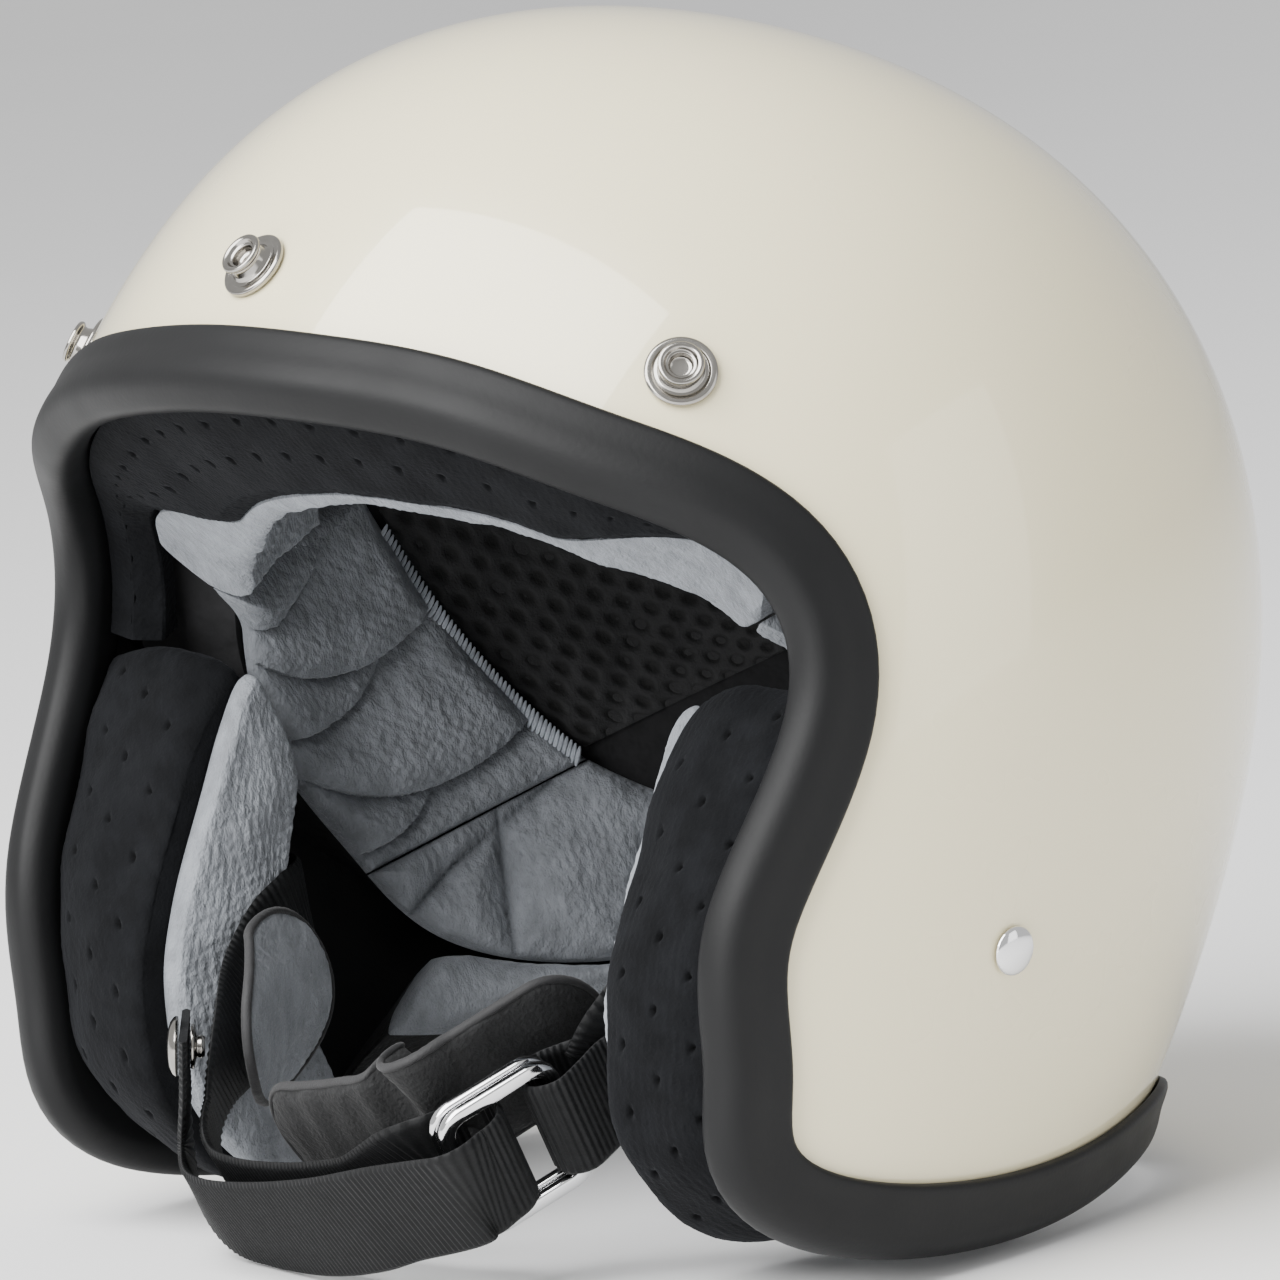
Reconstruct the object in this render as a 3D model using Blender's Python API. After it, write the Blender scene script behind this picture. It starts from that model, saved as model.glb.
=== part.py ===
"""Open face motorcycle helmet, built piece by piece.

Units are metres.  +X is the wearer's left, -Y is the front of the helmet and +Z is up.
The helmet stands on its rim, so the crown axis leans back by LEAN from the vertical.
Shapes are worked out about the shell's centre and then stood on z = 0 by place().
"""
import math

import bmesh
import bpy
import numpy as np
from mathutils import Matrix, Vector

for old in list(bpy.data.objects):
    bpy.data.objects.remove(old, do_unlink=True)

# ---- stance ----
LEAN = math.radians(25.0)
CENTRE = (0.0, -0.0251, 0.0901)

# ---- shell ----
SHELL_WIDTH = 0.248
SHELL_FRONT = 0.1228
SHELL_BACK = 0.1276
SHELL_CROWN = 0.152
SHELL_LOWER = 0.2116
SHELL_WALL = 0.004
PLAN_POWER = 2.0
PLAN_POWER_RISE = 0.15
SIDE_POWER = 2.2
WIDTH_TAPER = 0.085
CROWN_SHIFT = 0.0077
SOFTENING = 0.22

# The opening is measured around an axis that points down and forward from the centre.
OPENING_DIP = math.radians(38.0)
RIM_ANGLES = (60.3, 61.6, 65.5, 71.0, 78.3, 75.5, 62.2, 58.9, 65.5, 104.5, 119.2, 126.1, 127.4)
FOAM_ANGLES = (65.6, 67.0, 70.7, 76.5, 84.0, 83.0, 88.0, 97.0, 108.0, 123.0, 136.0, 144.0, 146.0)
PAD_ANGLES = (67.6, 69.0, 72.7, 79.0, 87.0, 85.5, 86.0, 91.5, 98.0, 114.0, 131.0, 138.5, 140.0)

# ---- layers inside the shell, as depths below its outer face ----
WASHER_ROOM = 0.0035
FOAM_DEPTH = SHELL_WALL + WASHER_ROOM
FOAM_WALL = 0.0245
LAYER_GAP = 0.0006
PAD_GAP = 0.0017
PAD_DEPTH = FOAM_DEPTH + FOAM_WALL + PAD_GAP
PAD_THICKNESS = 0.008
MESH_THICKNESS = 0.0012
BAND_DEEP_FRONT = 0.042
BAND_DEEP_SIDE = 0.020
BAND_REACH = 72.0
BROW_ROLL = 0.0065
EDGE_STEP = 2.2
KNEE_RUN = 2.9
BAND_GAP = 0.0010
BAND_TURNS = (36.0, 58.0)
ROLL_TURNS = (40.0, 66.0)
ROLL_SPREAD = 9.0
FOREHEAD_TOP = 100.0
NECK_START = 121.0
NECK_WEDGE_TOP = 97.0
NECK_WEDGE_SLOPE = 2.1

# ---- rim trim ----
TRIM_GAP = 0.0005
TRIM_FLANGE = 0.0095
TRIM_SKIN = 0.0027
TRIM_BEAD = 0.0066

# ---- cheek pads ----
CHEEK_FACE_X = 0.066
FLEECE_THICKNESS = 0.005
BACKING_WALL = 0.0035

# ---- hardware ----
STUD_SPREAD = math.radians(49.8)
STUD_RISE_SIDE = math.radians(27.9)
STUD_RISE_FRONT = math.radians(32.5)
STUD_RADIUS = 0.0071
STUD_HEIGHT = 0.005
SHANK_RADIUS = 0.0018
SHANK_GAP = 0.0004
RIVET_BEARING = math.radians(95.9)
RIVET_DROP = math.radians(-11.8)
RIVET_RADIUS = 0.0049
RIVET_SHANK = 0.002
PLATE_INSET = 0.0072
PLATE_WALL = 0.0015
PLATE_RADIUS = 0.0085
PLATE_TAB = 0.013

# ---- chin strap ----
WEB_WIDTH = 0.0245
WEB_WALL = 0.0016
RING_LENGTH = 0.027
RING_BAR = 0.0032
RING_WALL = 0.0024
RING_GAP = 0.0006
RING_CLEARANCE = 0.0022
FLAP_WIDTH = 0.030
FLAP_WALL = 0.0045
FLAP_OFFSET = 0.0132
FLAP_RAISE = 0.0055
SLEEVE_WIDTH = 0.028
SLEEVE_WALL = 0.004

RIM_STATIONS = 60
SHELL_ROWS = 13


# ---------------------------------------------------------------- shell surface
def soft_power(value, power):
    """|value| to a power, rounded off near zero so the shell has no crease."""
    k = SOFTENING
    full = (1 + k * k) ** (power / 2) - k ** power
    return ((value * value + k * k) ** (power / 2) - k ** power) / full


def radius(direction):
    """Distance from the centre to the shell's outer face along unit directions."""
    x, y, z = direction[..., 0], direction[..., 1], direction[..., 2]
    half_width = SHELL_WIDTH / 2 * (1 + WIDTH_TAPER * z)
    depth = (SHELL_FRONT + SHELL_BACK) / 2 + (SHELL_BACK - SHELL_FRONT) / 2 * y + CROWN_SHIFT * y * z
    height = (SHELL_CROWN + SHELL_LOWER) / 2 + (SHELL_CROWN - SHELL_LOWER) / 2 * z
    power = PLAN_POWER + PLAN_POWER_RISE * y
    plan = soft_power(x, power) / half_width ** power + soft_power(y, power) / depth ** power
    side = soft_power(z, SIDE_POWER) / height ** SIDE_POWER
    return (plan ** (SIDE_POWER / power) + side) ** (-1 / SIDE_POWER)


def unit(vector):
    vector = np.asarray(vector, float)
    return vector / np.linalg.norm(vector, axis=-1, keepdims=True)


AXIS = np.array([0.0, -math.cos(OPENING_DIP), -math.sin(OPENING_DIP)])
AXIS_UP = np.array([0.0, -math.sin(OPENING_DIP), math.cos(OPENING_DIP)])
AXIS_SIDE = np.array([1.0, 0.0, 0.0])


def look(turn, tilt):
    """Unit directions at a turn around the opening axis and a tilt away from it, in degrees."""
    turn, tilt = np.radians(turn), np.radians(tilt)
    ring = np.cos(turn)[..., None] * AXIS_UP + np.sin(turn)[..., None] * AXIS_SIDE
    return np.cos(tilt)[..., None] * AXIS + np.sin(tilt)[..., None] * ring


def on_shell(turn, tilt, depth=0.0):
    """Points at a depth below the shell's outer face."""
    turn, tilt = np.broadcast_arrays(np.asarray(turn, float), np.asarray(tilt, float))
    direction = look(turn, tilt)
    return direction * (radius(direction) - depth)[..., None]


def ring_curve(half_values, turn):
    """Smooth periodic cubic through values given every 15 degrees from 0 to 180."""
    values = np.array(list(half_values) + list(half_values[-2:0:-1]), float)
    count = len(values)
    step = 360.0 / count
    matrix = 4 * np.eye(count) + np.roll(np.eye(count), 1, 0) + np.roll(np.eye(count), -1, 0)
    bend = np.linalg.solve(matrix, 6 * (np.roll(values, -1) - 2 * values + np.roll(values, 1)))
    place_in = np.mod(np.asarray(turn, float), 360.0) / step
    low = np.floor(place_in).astype(int) % count
    high = (low + 1) % count
    f = place_in - np.floor(place_in)
    g = 1 - f
    return g * values[low] + f * values[high] + ((g ** 3 - g) * bend[low] + (f ** 3 - f) * bend[high]) / 6


def surface_normal(points):
    """Outward normals of the shell at points on it."""
    step = 1e-5
    slope = []
    for axis in np.eye(3):
        ahead = points + axis * step
        behind = points - axis * step
        ahead_level = np.linalg.norm(ahead, axis=-1) / radius(unit(ahead))
        behind_level = np.linalg.norm(behind, axis=-1) / radius(unit(behind))
        slope.append(ahead_level - behind_level)
    return unit(np.stack(slope, -1))


def rim_turns(count):
    """Turns that space the rim's stations evenly along it."""
    dense = np.linspace(0.0, 360.0, 1441)
    points = on_shell(dense, ring_curve(RIM_ANGLES, dense))
    travel = np.concatenate([[0.0], np.cumsum(np.linalg.norm(np.diff(points, axis=0), axis=1))])
    return np.interp(np.arange(count) / count * travel[-1], travel, dense)


TURNS = rim_turns(RIM_STATIONS)
RIM = on_shell(TURNS, ring_curve(RIM_ANGLES, TURNS))
RIM_OUT = surface_normal(RIM)
RIM_ALONG = unit(np.roll(RIM, -1, 0) - np.roll(RIM, 1, 0))
RIM_INTO = unit(np.cross(RIM_OUT, RIM_ALONG))


def rim_offset(onto, out):
    """A ring beside the rim: a distance onto the shell, then a distance out of its face."""
    flat = RIM + RIM_INTO * onto
    direction = unit(flat)
    base = direction * radius(direction)[:, None]
    return base + surface_normal(base) * out


def side_x(y, z, depth):
    """Half-width of the shell at (y, z), measured at a depth below its outer face."""
    low, high = 0.02, SHELL_WIDTH
    for _ in range(40):
        middle = (low + high) / 2
        point = to_shell((middle, y, z))
        inside = np.linalg.norm(point) < radius(unit(point)) - depth
        low, high = (middle, high) if inside else (low, middle)
    return low


# ---------------------------------------------------------------- frames
def to_world(points):
    """Lean shell coordinates back and stand them on the floor."""
    points = np.asarray(points, float)
    y = points[..., 1] * math.cos(LEAN) + points[..., 2] * math.sin(LEAN)
    z = -points[..., 1] * math.sin(LEAN) + points[..., 2] * math.cos(LEAN)
    return np.stack([points[..., 0], y, z], -1) + np.array(CENTRE)


def to_shell(point):
    """Upright coordinates about the centre, turned into shell coordinates."""
    x, y, z = point
    return np.array([x, y * math.cos(LEAN) - z * math.sin(LEAN), y * math.sin(LEAN) + z * math.cos(LEAN)])


def stand(points):
    """Upright coordinates about the centre, stood on the floor."""
    return np.asarray(points, float) + np.array(CENTRE)


# ---------------------------------------------------------------- materials
def finish(name, colour, roughness, metallic=0.0, sheen=0.0, coat=0.0):
    material = bpy.data.materials.new(name)
    material.use_nodes = True
    shader = material.node_tree.nodes["Principled BSDF"]
    shader.inputs["Base Color"].default_value = (*colour, 1.0)
    shader.inputs["Roughness"].default_value = roughness
    shader.inputs["Metallic"].default_value = metallic
    shader.inputs["Sheen Weight"].default_value = sheen
    shader.inputs["Coat Weight"].default_value = coat
    material.diffuse_color = (*colour, 1.0)
    return material


IVORY = finish("ivory_gloss", (0.72, 0.69, 0.55), 0.08, coat=1.0)
RUBBER = finish("black_rubber", (0.02, 0.021, 0.023), 0.55)
FOAM = finish("black_foam", (0.012, 0.012, 0.012), 0.85)
SUEDE = finish("black_suede", (0.014, 0.015, 0.019), 0.95, sheen=0.4)
FLEECE = finish("grey_fleece", (0.2, 0.22, 0.25), 0.95, sheen=0.5)
MESH_CLOTH = finish("black_mesh", (0.01, 0.01, 0.011), 0.8)
WEBBING = finish("black_webbing", (0.025, 0.027, 0.03), 0.6)
NICKEL = finish("nickel", (0.62, 0.6, 0.56), 0.22, metallic=1.0)
CHROME = finish("chrome", (0.8, 0.8, 0.8), 0.06, metallic=1.0)
STEEL = finish("zinc_steel", (0.5, 0.5, 0.5), 0.4, metallic=1.0)
PLASTIC = finish("black_plastic", (0.015, 0.015, 0.015), 0.5)


# ---------------------------------------------------------------- mesh helpers
def add_object(name, verts, faces, material, pivot=(0.0, 0.0, 0.0), smooth=True):
    """A closed mesh as a named object whose origin is at pivot."""
    mesh = bpy.data.meshes.new(name)
    local = np.asarray(verts, float) - np.asarray(pivot, float)
    mesh.from_pydata([tuple(v) for v in local], [], faces)
    work = bmesh.new()
    work.from_mesh(mesh)
    bmesh.ops.recalc_face_normals(work, faces=work.faces)
    work.to_mesh(mesh)
    work.free()
    if smooth:
        mesh.shade_smooth()
        mesh.set_sharp_from_angle(angle=math.radians(40))
    mesh.materials.append(material)
    obj = bpy.data.objects.new(name, mesh)
    obj.location = pivot
    bpy.context.collection.objects.link(obj)
    return obj


def tube_faces(rings, count, close=False):
    """Quads between consecutive rings of count points."""
    faces = []
    for r in range(rings if close else rings - 1):
        a, b = r * count, (r + 1) % rings * count
        for i in range(count):
            j = (i + 1) % count
            faces.append((a + i, a + j, b + j, b + i))
    return faces


def skin_rings(name, rings, material, close=False, caps=None, **options):
    """A solid from rings of points: a torus when closed, else capped by fans or faces."""
    count = len(rings[0])
    verts = [tuple(p) for ring in rings for p in ring]
    faces = tube_faces(len(rings), count, close)
    if caps is not None:
        for tip, start in ((caps[0], 0), (caps[1], (len(rings) - 1) * count)):
            verts.append(tuple(tip))
            hub = len(verts) - 1
            faces += [(hub, start + i, start + (i + 1) % count) for i in range(count)]
    elif not close:
        faces.append(tuple(range(count)))
        faces.append(tuple(range((len(rings) - 1) * count, len(rings) * count)))
    return add_object(name, verts, faces, material, **options)


def slab(name, top, bottom, material, **options):
    """A solid between two matching grids of points."""
    rows, cols = top.shape[:2]
    verts = [tuple(p) for p in top.reshape(-1, 3)] + [tuple(p) for p in bottom.reshape(-1, 3)]
    back = rows * cols
    faces = []
    for r in range(rows - 1):
        for c in range(cols - 1):
            a = r * cols + c
            faces.append((a, a + 1, a + cols + 1, a + cols))
            faces.append((back + a, back + a + cols, back + a + cols + 1, back + a + 1))
    border = [c for c in range(cols)] + [r * cols + cols - 1 for r in range(1, rows)]
    border += [(rows - 1) * cols + c for c in range(cols - 2, -1, -1)]
    border += [r * cols for r in range(rows - 2, 0, -1)]
    for i, a in enumerate(border):
        b = border[(i + 1) % len(border)]
        faces.append((a, back + a, back + b, b))
    return add_object(name, verts, faces, material, **options)


def turned(name, profile, frame, material, segments=16, pivot=(0.0, 0.0, 0.0)):
    """A turned solid; profile is (radius, height) from the axis at one end to the axis at the other."""
    first, last = profile[0], profile[-1]
    angles = np.arange(segments) / segments * 2 * math.pi
    rings = []
    for r, h in profile[1:-1]:
        ring = np.stack([r * np.cos(angles), r * np.sin(angles), np.full(segments, h)], -1)
        rings.append(apply(frame, ring))
    caps = (apply(frame, np.array([0, 0, first[1]])), apply(frame, np.array([0, 0, last[1]])))
    return skin_rings(name, rings, material, caps=caps, pivot=pivot)


def turned_ring(name, profile, frame, material, segments=16, pivot=(0.0, 0.0, 0.0)):
    """A turned solid with a hole: profile is a closed loop of (radius, height)."""
    angles = np.arange(segments) / segments * 2 * math.pi
    rings = []
    for angle in angles:
        loop = np.array([[r * math.cos(angle), r * math.sin(angle), h] for r, h in profile])
        rings.append(apply(frame, loop))
    return skin_rings(name, rings, material, close=True, pivot=pivot)


def apply(frame, points):
    """Transform an array of points by a 4x4 matrix."""
    matrix = np.array(frame)
    return np.asarray(points, float) @ matrix[:3, :3].T + matrix[:3, 3]


def facing(point, outward):
    """A frame at a point with +Z along outward."""
    turn = Vector(outward).to_track_quat("Z", "X").to_matrix().to_4x4()
    return Matrix.Translation(Vector(point)) @ turn


def smooth_path(points, count):
    """A Catmull-Rom curve through points, resampled evenly."""
    points = np.asarray(points, float)
    ends = np.vstack([2 * points[0] - points[1], points, 2 * points[-1] - points[-2]])
    dense = []
    for i in range(1, len(ends) - 2):
        p0, p1, p2, p3 = ends[i - 1:i + 3]
        for t in np.arange(24) / 24:
            dense.append(0.5 * (2 * p1 + (p2 - p0) * t + (2 * p0 - 5 * p1 + 4 * p2 - p3) * t ** 2
                                + (3 * p1 - p0 - 3 * p2 + p3) * t ** 3))
    dense.append(points[-1])
    dense = np.array(dense)
    place = dense[:, :3]
    travel = np.concatenate([[0.0], np.cumsum(np.linalg.norm(np.diff(place, axis=0), axis=1))])
    at = np.linspace(0.0, travel[-1], count)
    return np.stack([np.interp(at, travel, dense[:, k]) for k in range(dense.shape[1])], -1)


def ribbon(name, route, width, wall, material, count, pivot=(0.0, 0.0, 0.0)):
    """A flat band; route rows are x, y, z and the direction of its width."""
    samples = smooth_path(route, count)
    place, across = samples[:, :3], samples[:, 3:]
    along = unit(np.gradient(place, axis=0))
    across = unit(across - along * np.sum(across * along, axis=1, keepdims=True))
    out = np.cross(along, across)
    corners = ((-1, -1), (1, -1), (1, 1), (-1, 1))
    rings = [[p + a * (width / 2 * i) + n * (wall / 2 * j) for i, j in corners]
             for p, a, n in zip(place, across, out)]
    return skin_rings(name, stand(rings), material, pivot=pivot)


def cut(target, cutters):
    """Cut hidden wire cutters out of a piece."""
    for cutter in cutters:
        cutter.hide_render = True
        cutter.display_type = "WIRE"
        boolean = target.modifiers.new(cutter.name, "BOOLEAN")
        boolean.operation = "DIFFERENCE"
        boolean.solver = "EXACT"
        boolean.object = cutter


# ---------------------------------------------------------------- shell and rim
def bearing(turn, rise):
    """Direction at a turn from the front towards the left and a rise above level, in shell axes."""
    return np.array([math.sin(turn) * math.cos(rise), -math.cos(turn) * math.cos(rise), math.sin(rise)])


def seat(turn, rise):
    """Point and outward normal on the shell, in world coordinates."""
    direction = bearing(turn, rise)
    point = direction * radius(direction)
    normal = surface_normal(point[None])[0]
    return to_world(point), to_world(normal) - np.array(CENTRE)


STUDS = {
    "left": seat(STUD_SPREAD, STUD_RISE_SIDE),
    "centre": seat(0.0, STUD_RISE_FRONT),
    "right": seat(-STUD_SPREAD, STUD_RISE_SIDE),
}
RIVETS = {"left": seat(RIVET_BEARING, RIVET_DROP), "right": seat(-RIVET_BEARING, RIVET_DROP)}
SIDES = {"left": 1, "right": -1}


def hinge_line():
    """Where both rivets' shanks pass through the strap anchor plates: the axis of the chin strap."""
    point, normal = RIVETS["left"]
    at_plate = point - normal * (PLATE_INSET + PLATE_WALL / 2) / normal[0]
    return np.array([0.0, at_plate[1], at_plate[2]])


HINGE = hinge_line()


def shell_rows(depth):
    """Rings from the rim to near the pole opposite the opening."""
    rings = [rim_offset(0.0, 0.0), rim_offset(TRIM_FLANGE + 2 * TRIM_GAP, 0.0)]
    start = unit(rings[1])
    angle = np.arccos(np.clip(start @ -AXIS, -1, 1))
    for row in range(1, SHELL_ROWS):
        share = row / SHELL_ROWS
        blend = np.sin((1 - share) * angle)[:, None] * start + np.sin(share * angle)[:, None] * -AXIS
        rings.append(unit(blend))
    lowered = []
    for ring in rings:
        direction = unit(ring)
        outer = direction * radius(direction)[:, None]
        lowered.append(outer - surface_normal(outer) * depth)
    return lowered


def build_shell():
    outer, inner = shell_rows(0.0), shell_rows(SHELL_WALL)
    rings = [to_world(ring) for ring in outer[::-1] + inner]
    top = -AXIS * radius(-AXIS)
    caps = (to_world(top), to_world(top - surface_normal(top[None])[0] * SHELL_WALL))
    shell = skin_rings("shell", rings, IVORY, caps=caps)
    cutters = []
    for label, (point, normal) in {**STUDS, **{k + "_rivet": v for k, v in RIVETS.items()}}.items():
        bore = (RIVET_SHANK if "rivet" in label else SHANK_RADIUS) + SHANK_GAP
        reach = 3 * SHELL_WALL
        profile = ((0, -reach), (bore, -reach), (bore, reach), (0, reach))
        cutters.append(turned("hole_" + label, profile, facing(point, normal), STEEL))
    cut(shell, cutters)


def build_trim():
    """Rubber channel: a flange over the shell, a rolled bead beyond the rim and an inner lip."""
    inner = -(SHELL_WALL + TRIM_GAP)
    lip = inner - 0.0033
    profile = (
        (TRIM_FLANGE, TRIM_GAP), (TRIM_FLANGE, TRIM_SKIN - 0.0008), (TRIM_FLANGE - 0.0015, TRIM_SKIN),
        (0.003, TRIM_SKIN + 0.0004), (-0.0015, TRIM_SKIN + 0.0005), (-TRIM_BEAD * 0.73, 0.002),
        (-TRIM_BEAD, -0.0008), (-TRIM_BEAD, -0.0036), (-TRIM_BEAD * 0.73, lip + 0.0014),
        (-0.0015, lip), (0.003, lip), (0.007, lip + 0.0006), (0.0074, inner),
        (-TRIM_GAP, inner), (-TRIM_GAP, TRIM_GAP),
    )
    loops = [to_world(rim_offset(onto, out)) for onto, out in profile]
    skin_rings("edge_trim", loops, RUBBER, close=True)


# ---------------------------------------------------------------- foam liner and soft layers
def foam_edge(turn):
    return ring_curve(FOAM_ANGLES, turn)


def pad_edge(turn):
    return ring_curve(PAD_ANGLES, turn)


def build_foam():
    """Energy-absorbing foam bowl, set back from the rim by the foam angles."""
    turns = np.arange(60) * 6.0
    start = foam_edge(turns)
    rows = 10
    outer = [on_shell(turns, start + (180 - start) * r / rows, FOAM_DEPTH) for r in range(rows)]
    inner = [on_shell(turns, start + (180 - start) * r / rows, FOAM_DEPTH + FOAM_WALL) for r in range(rows)]
    rings = [to_world(ring) for ring in outer[::-1] + inner]
    top = radius(-AXIS)
    caps = (to_world(-AXIS * (top - FOAM_DEPTH)), to_world(-AXIS * (top - FOAM_DEPTH - FOAM_WALL)))
    skin_rings("eps_liner", rings, FOAM, caps=caps)


def ease(value, low, high):
    """0 below low, 1 above high and a smooth step between."""
    share = np.clip((np.asarray(value, float) - low) / (high - low), 0.0, 1.0)
    return share * share * (3 - 2 * share)


def band_deep(turn):
    """Depth of the brow band's inner edge, less at the temples than over the brow."""
    return BAND_DEEP_FRONT + (BAND_DEEP_SIDE - BAND_DEEP_FRONT) * ease(np.abs(turn), *BAND_TURNS)


def lining_edge(turn):
    """Tilt of the lining's edge: at the rim over the brow, on the foam's edge at the sides."""
    at_rim = ring_curve(RIM_ANGLES, turn) + EDGE_STEP
    return at_rim + (pad_edge(turn) - at_rim) * ease(np.abs(turn), 62.0, BAND_REACH)


def lining_knee(turn):
    """Tilt where the lining passes from the brow band on to the foam."""
    return np.maximum(foam_edge(turn) - 0.4, lining_edge(turn) + 0.6)


def lining_base(turn, tilt):
    """Depth of the lining's outer face: on the brow band near the rim, then on the foam."""
    edge, knee = lining_edge(turn), lining_knee(turn)
    rest = band_deep(turn) + BAND_GAP
    early = np.clip((tilt - edge) / (knee - edge) * 3 - 1, 0.0, 1.0)
    late = np.clip((tilt - knee) / KNEE_RUN, 0.0, 1.0)
    share = np.where(rest < PAD_DEPTH, early, late)
    share = np.maximum(share, ease(np.abs(turn), SIDE_START - 4.0, SIDE_START))
    return rest + (PAD_DEPTH - rest) * share


def lining_face(turn, tilt):
    """Depth of the lining's inner face, thickest in a roll behind the brow band."""
    beyond = tilt - ring_curve(RIM_ANGLES, turn) - EDGE_STEP
    roll = np.exp(-(beyond / ROLL_SPREAD) ** 2) * (1 - ease(np.abs(turn), *ROLL_TURNS))
    return PAD_DEPTH + PAD_THICKNESS + BROW_ROLL * roll


def lining_tilts(turns, high):
    """Tilts of the lining's rows: three steps over the brow band, then evenly over the foam."""
    edge, knee = lining_edge(turns), lining_knee(turns)
    rows = [edge + (knee - edge) * share for share in (0.0, 1 / 3, 2 / 3, 1.0)]
    after = knee + KNEE_RUN
    return np.array(rows + [after + (high(turns) - after) * share for share in np.linspace(0.0, 1.0, 6)])


def between(low, high, rows):
    """Evenly spaced tilts from low to high."""
    share = np.linspace(0.0, 1.0, rows)[:, None]
    return low * (1 - share) + high * share


def patch(name, turns, tilt, depths, material, mirror=1):
    """A panel inside the foam at the given turns and tilts, with depths for its outer and inner face."""
    grid_turns = np.broadcast_to(turns, tilt.shape)
    outer, inner = [on_shell(grid_turns, tilt, depth(grid_turns, tilt)) for depth in depths]
    flip = np.array([mirror, 1, 1])
    slab(name, to_world(outer * flip), to_world(inner * flip), material)


SEAM_GAP = 1.2
SIDE_START, SIDE_END = 64.0, 108.0


def side_top(turn):
    """Upper edge of the side panels, rising towards the back."""
    return 108.0 + (np.abs(turn) - SIDE_START) * 0.42


def rear_top(turn):
    """Upper edge of the rear panel, highest at the middle of the back."""
    return side_top(SIDE_END) + (72.0 - np.abs(180.0 - turn)) * 0.55


def level(depth):
    """A constant depth, as a function of place."""
    return lambda turn, tilt: np.full(tilt.shape, depth)


def build_soft_layers():
    for label, sign in SIDES.items():
        turns = np.linspace(SIDE_START, SIDE_END, 13)
        tilts = lining_tilts(turns, side_top)
        patch("side_liner_" + label, turns, tilts, (lining_base, lining_face), FLEECE, sign)
    rear = np.linspace(SIDE_END + SEAM_GAP, 360 - SIDE_END - SEAM_GAP, 19)
    patch("rear_liner", rear, between(pad_edge(rear), rear_top(rear), 4),
          (level(PAD_DEPTH), level(PAD_DEPTH + PAD_THICKNESS * 0.9)), FLEECE)
    front = np.linspace(-SIDE_START + SEAM_GAP, SIDE_START - SEAM_GAP, 21)
    tilts = lining_tilts(front, lambda t: FOREHEAD_TOP + 0.0 * t)
    patch("forehead_liner", front, tilts, (lining_base, lining_face), FLEECE)
    crown = np.linspace(-SIDE_END + SEAM_GAP, SIDE_END - SEAM_GAP, 19)
    patch("crown_mesh", crown, between(np.maximum(102.0, side_top(crown) + SEAM_GAP), 172.0, 6),
          (level(PAD_DEPTH), level(PAD_DEPTH + MESH_THICKNESS)), MESH_CLOTH)


def build_brow_band():
    """Suede-covered foam strip closing the front of the foam from cheek pad to cheek pad."""
    turns = np.linspace(-BAND_REACH, BAND_REACH, 37)
    rim = ring_curve(RIM_ANGLES, turns)
    deep = band_deep(turns)
    shallow = SHELL_WALL + TRIM_GAP + 0.0033 + 0.0008
    near, far = rim + 0.4, foam_edge(turns) - 0.6
    back = np.minimum(shallow + 0.012, deep - 0.005)
    section = ((near, shallow + 0 * deep), (near + 0.6, (shallow + deep) / 2), (near + 1.4, deep),
               (far, deep), (far, back), (near + 2.2, shallow + 0.004 + 0 * deep))
    loops = np.stack([on_shell(turns, tilt, depth) for tilt, depth in section], 1)
    skin_rings("brow_band", [to_world(loop) for loop in loops], SUEDE)


def build_neck_roll():
    """Padded roll along the nape between the rim and the foam, running out to a wedge at each end."""
    turns = np.linspace(NECK_START, 360.0 - NECK_START, 33)
    rim = ring_curve(RIM_ANGLES, turns)
    wedge = NECK_WEDGE_TOP - (np.minimum(turns, 360.0 - turns) - NECK_START) * NECK_WEDGE_SLOPE
    low, high = np.maximum(rim + 1.2, wedge), pad_edge(turns) - 1.0
    shallow, deep = SHELL_WALL + TRIM_GAP + 0.0045, PAD_DEPTH + PAD_THICKNESS * 0.5
    middle = (low + high) / 2
    bulge = np.minimum(0.4, (high - low) * 0.1)
    section = ((low, shallow), (low - bulge, (shallow + deep) / 2), (low + 2 * bulge, deep - 0.004),
               (middle, deep), (high, deep - 0.003), (high, shallow))
    loops = np.stack([on_shell(turns, tilt, depth) for tilt, depth in section], 1)
    skin_rings("neck_roll", [to_world(loop) for loop in loops], FLEECE)


# ---------------------------------------------------------------- cheek pads
# Outlines seen from the side, as (y, z) about the centre, from the top round the front.
PAD_INNER = (
    (-0.030, 0.0215), (-0.041, 0.011), (-0.050, -0.005), (-0.058, -0.022), (-0.062, -0.038),
    (-0.060, -0.058), (-0.050, -0.074), (-0.036, -0.082), (-0.022, -0.080), (-0.017, -0.070),
    (-0.023, -0.057), (-0.033, -0.046), (-0.038, -0.037), (-0.037, -0.028), (-0.031, -0.019),
    (-0.024, -0.010), (-0.021, 0.002), (-0.024, 0.013),
)
PAD_OUTER = (
    (-0.030, 0.0235), (-0.038, 0.0145), (-0.046, 0.000), (-0.054, -0.014), (-0.057, -0.030),
    (-0.056, -0.052), (-0.044, -0.066), (-0.030, -0.072), (-0.014, -0.072), (-0.010, -0.064),
    (-0.016, -0.055), (-0.025, -0.047), (-0.031, -0.039), (-0.032, -0.029), (-0.029, -0.019),
    (-0.024, -0.009), (-0.021, 0.002), (-0.023, 0.013),
)


def shrink(outline, share):
    """Scale an outline about its middle."""
    outline = np.asarray(outline, float)
    middle = outline.mean(axis=0)
    return middle + (outline - middle) * share


def cheek_section(outline, x_of):
    return np.array([[x_of(y, z), y, z] for y, z in outline])


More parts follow.
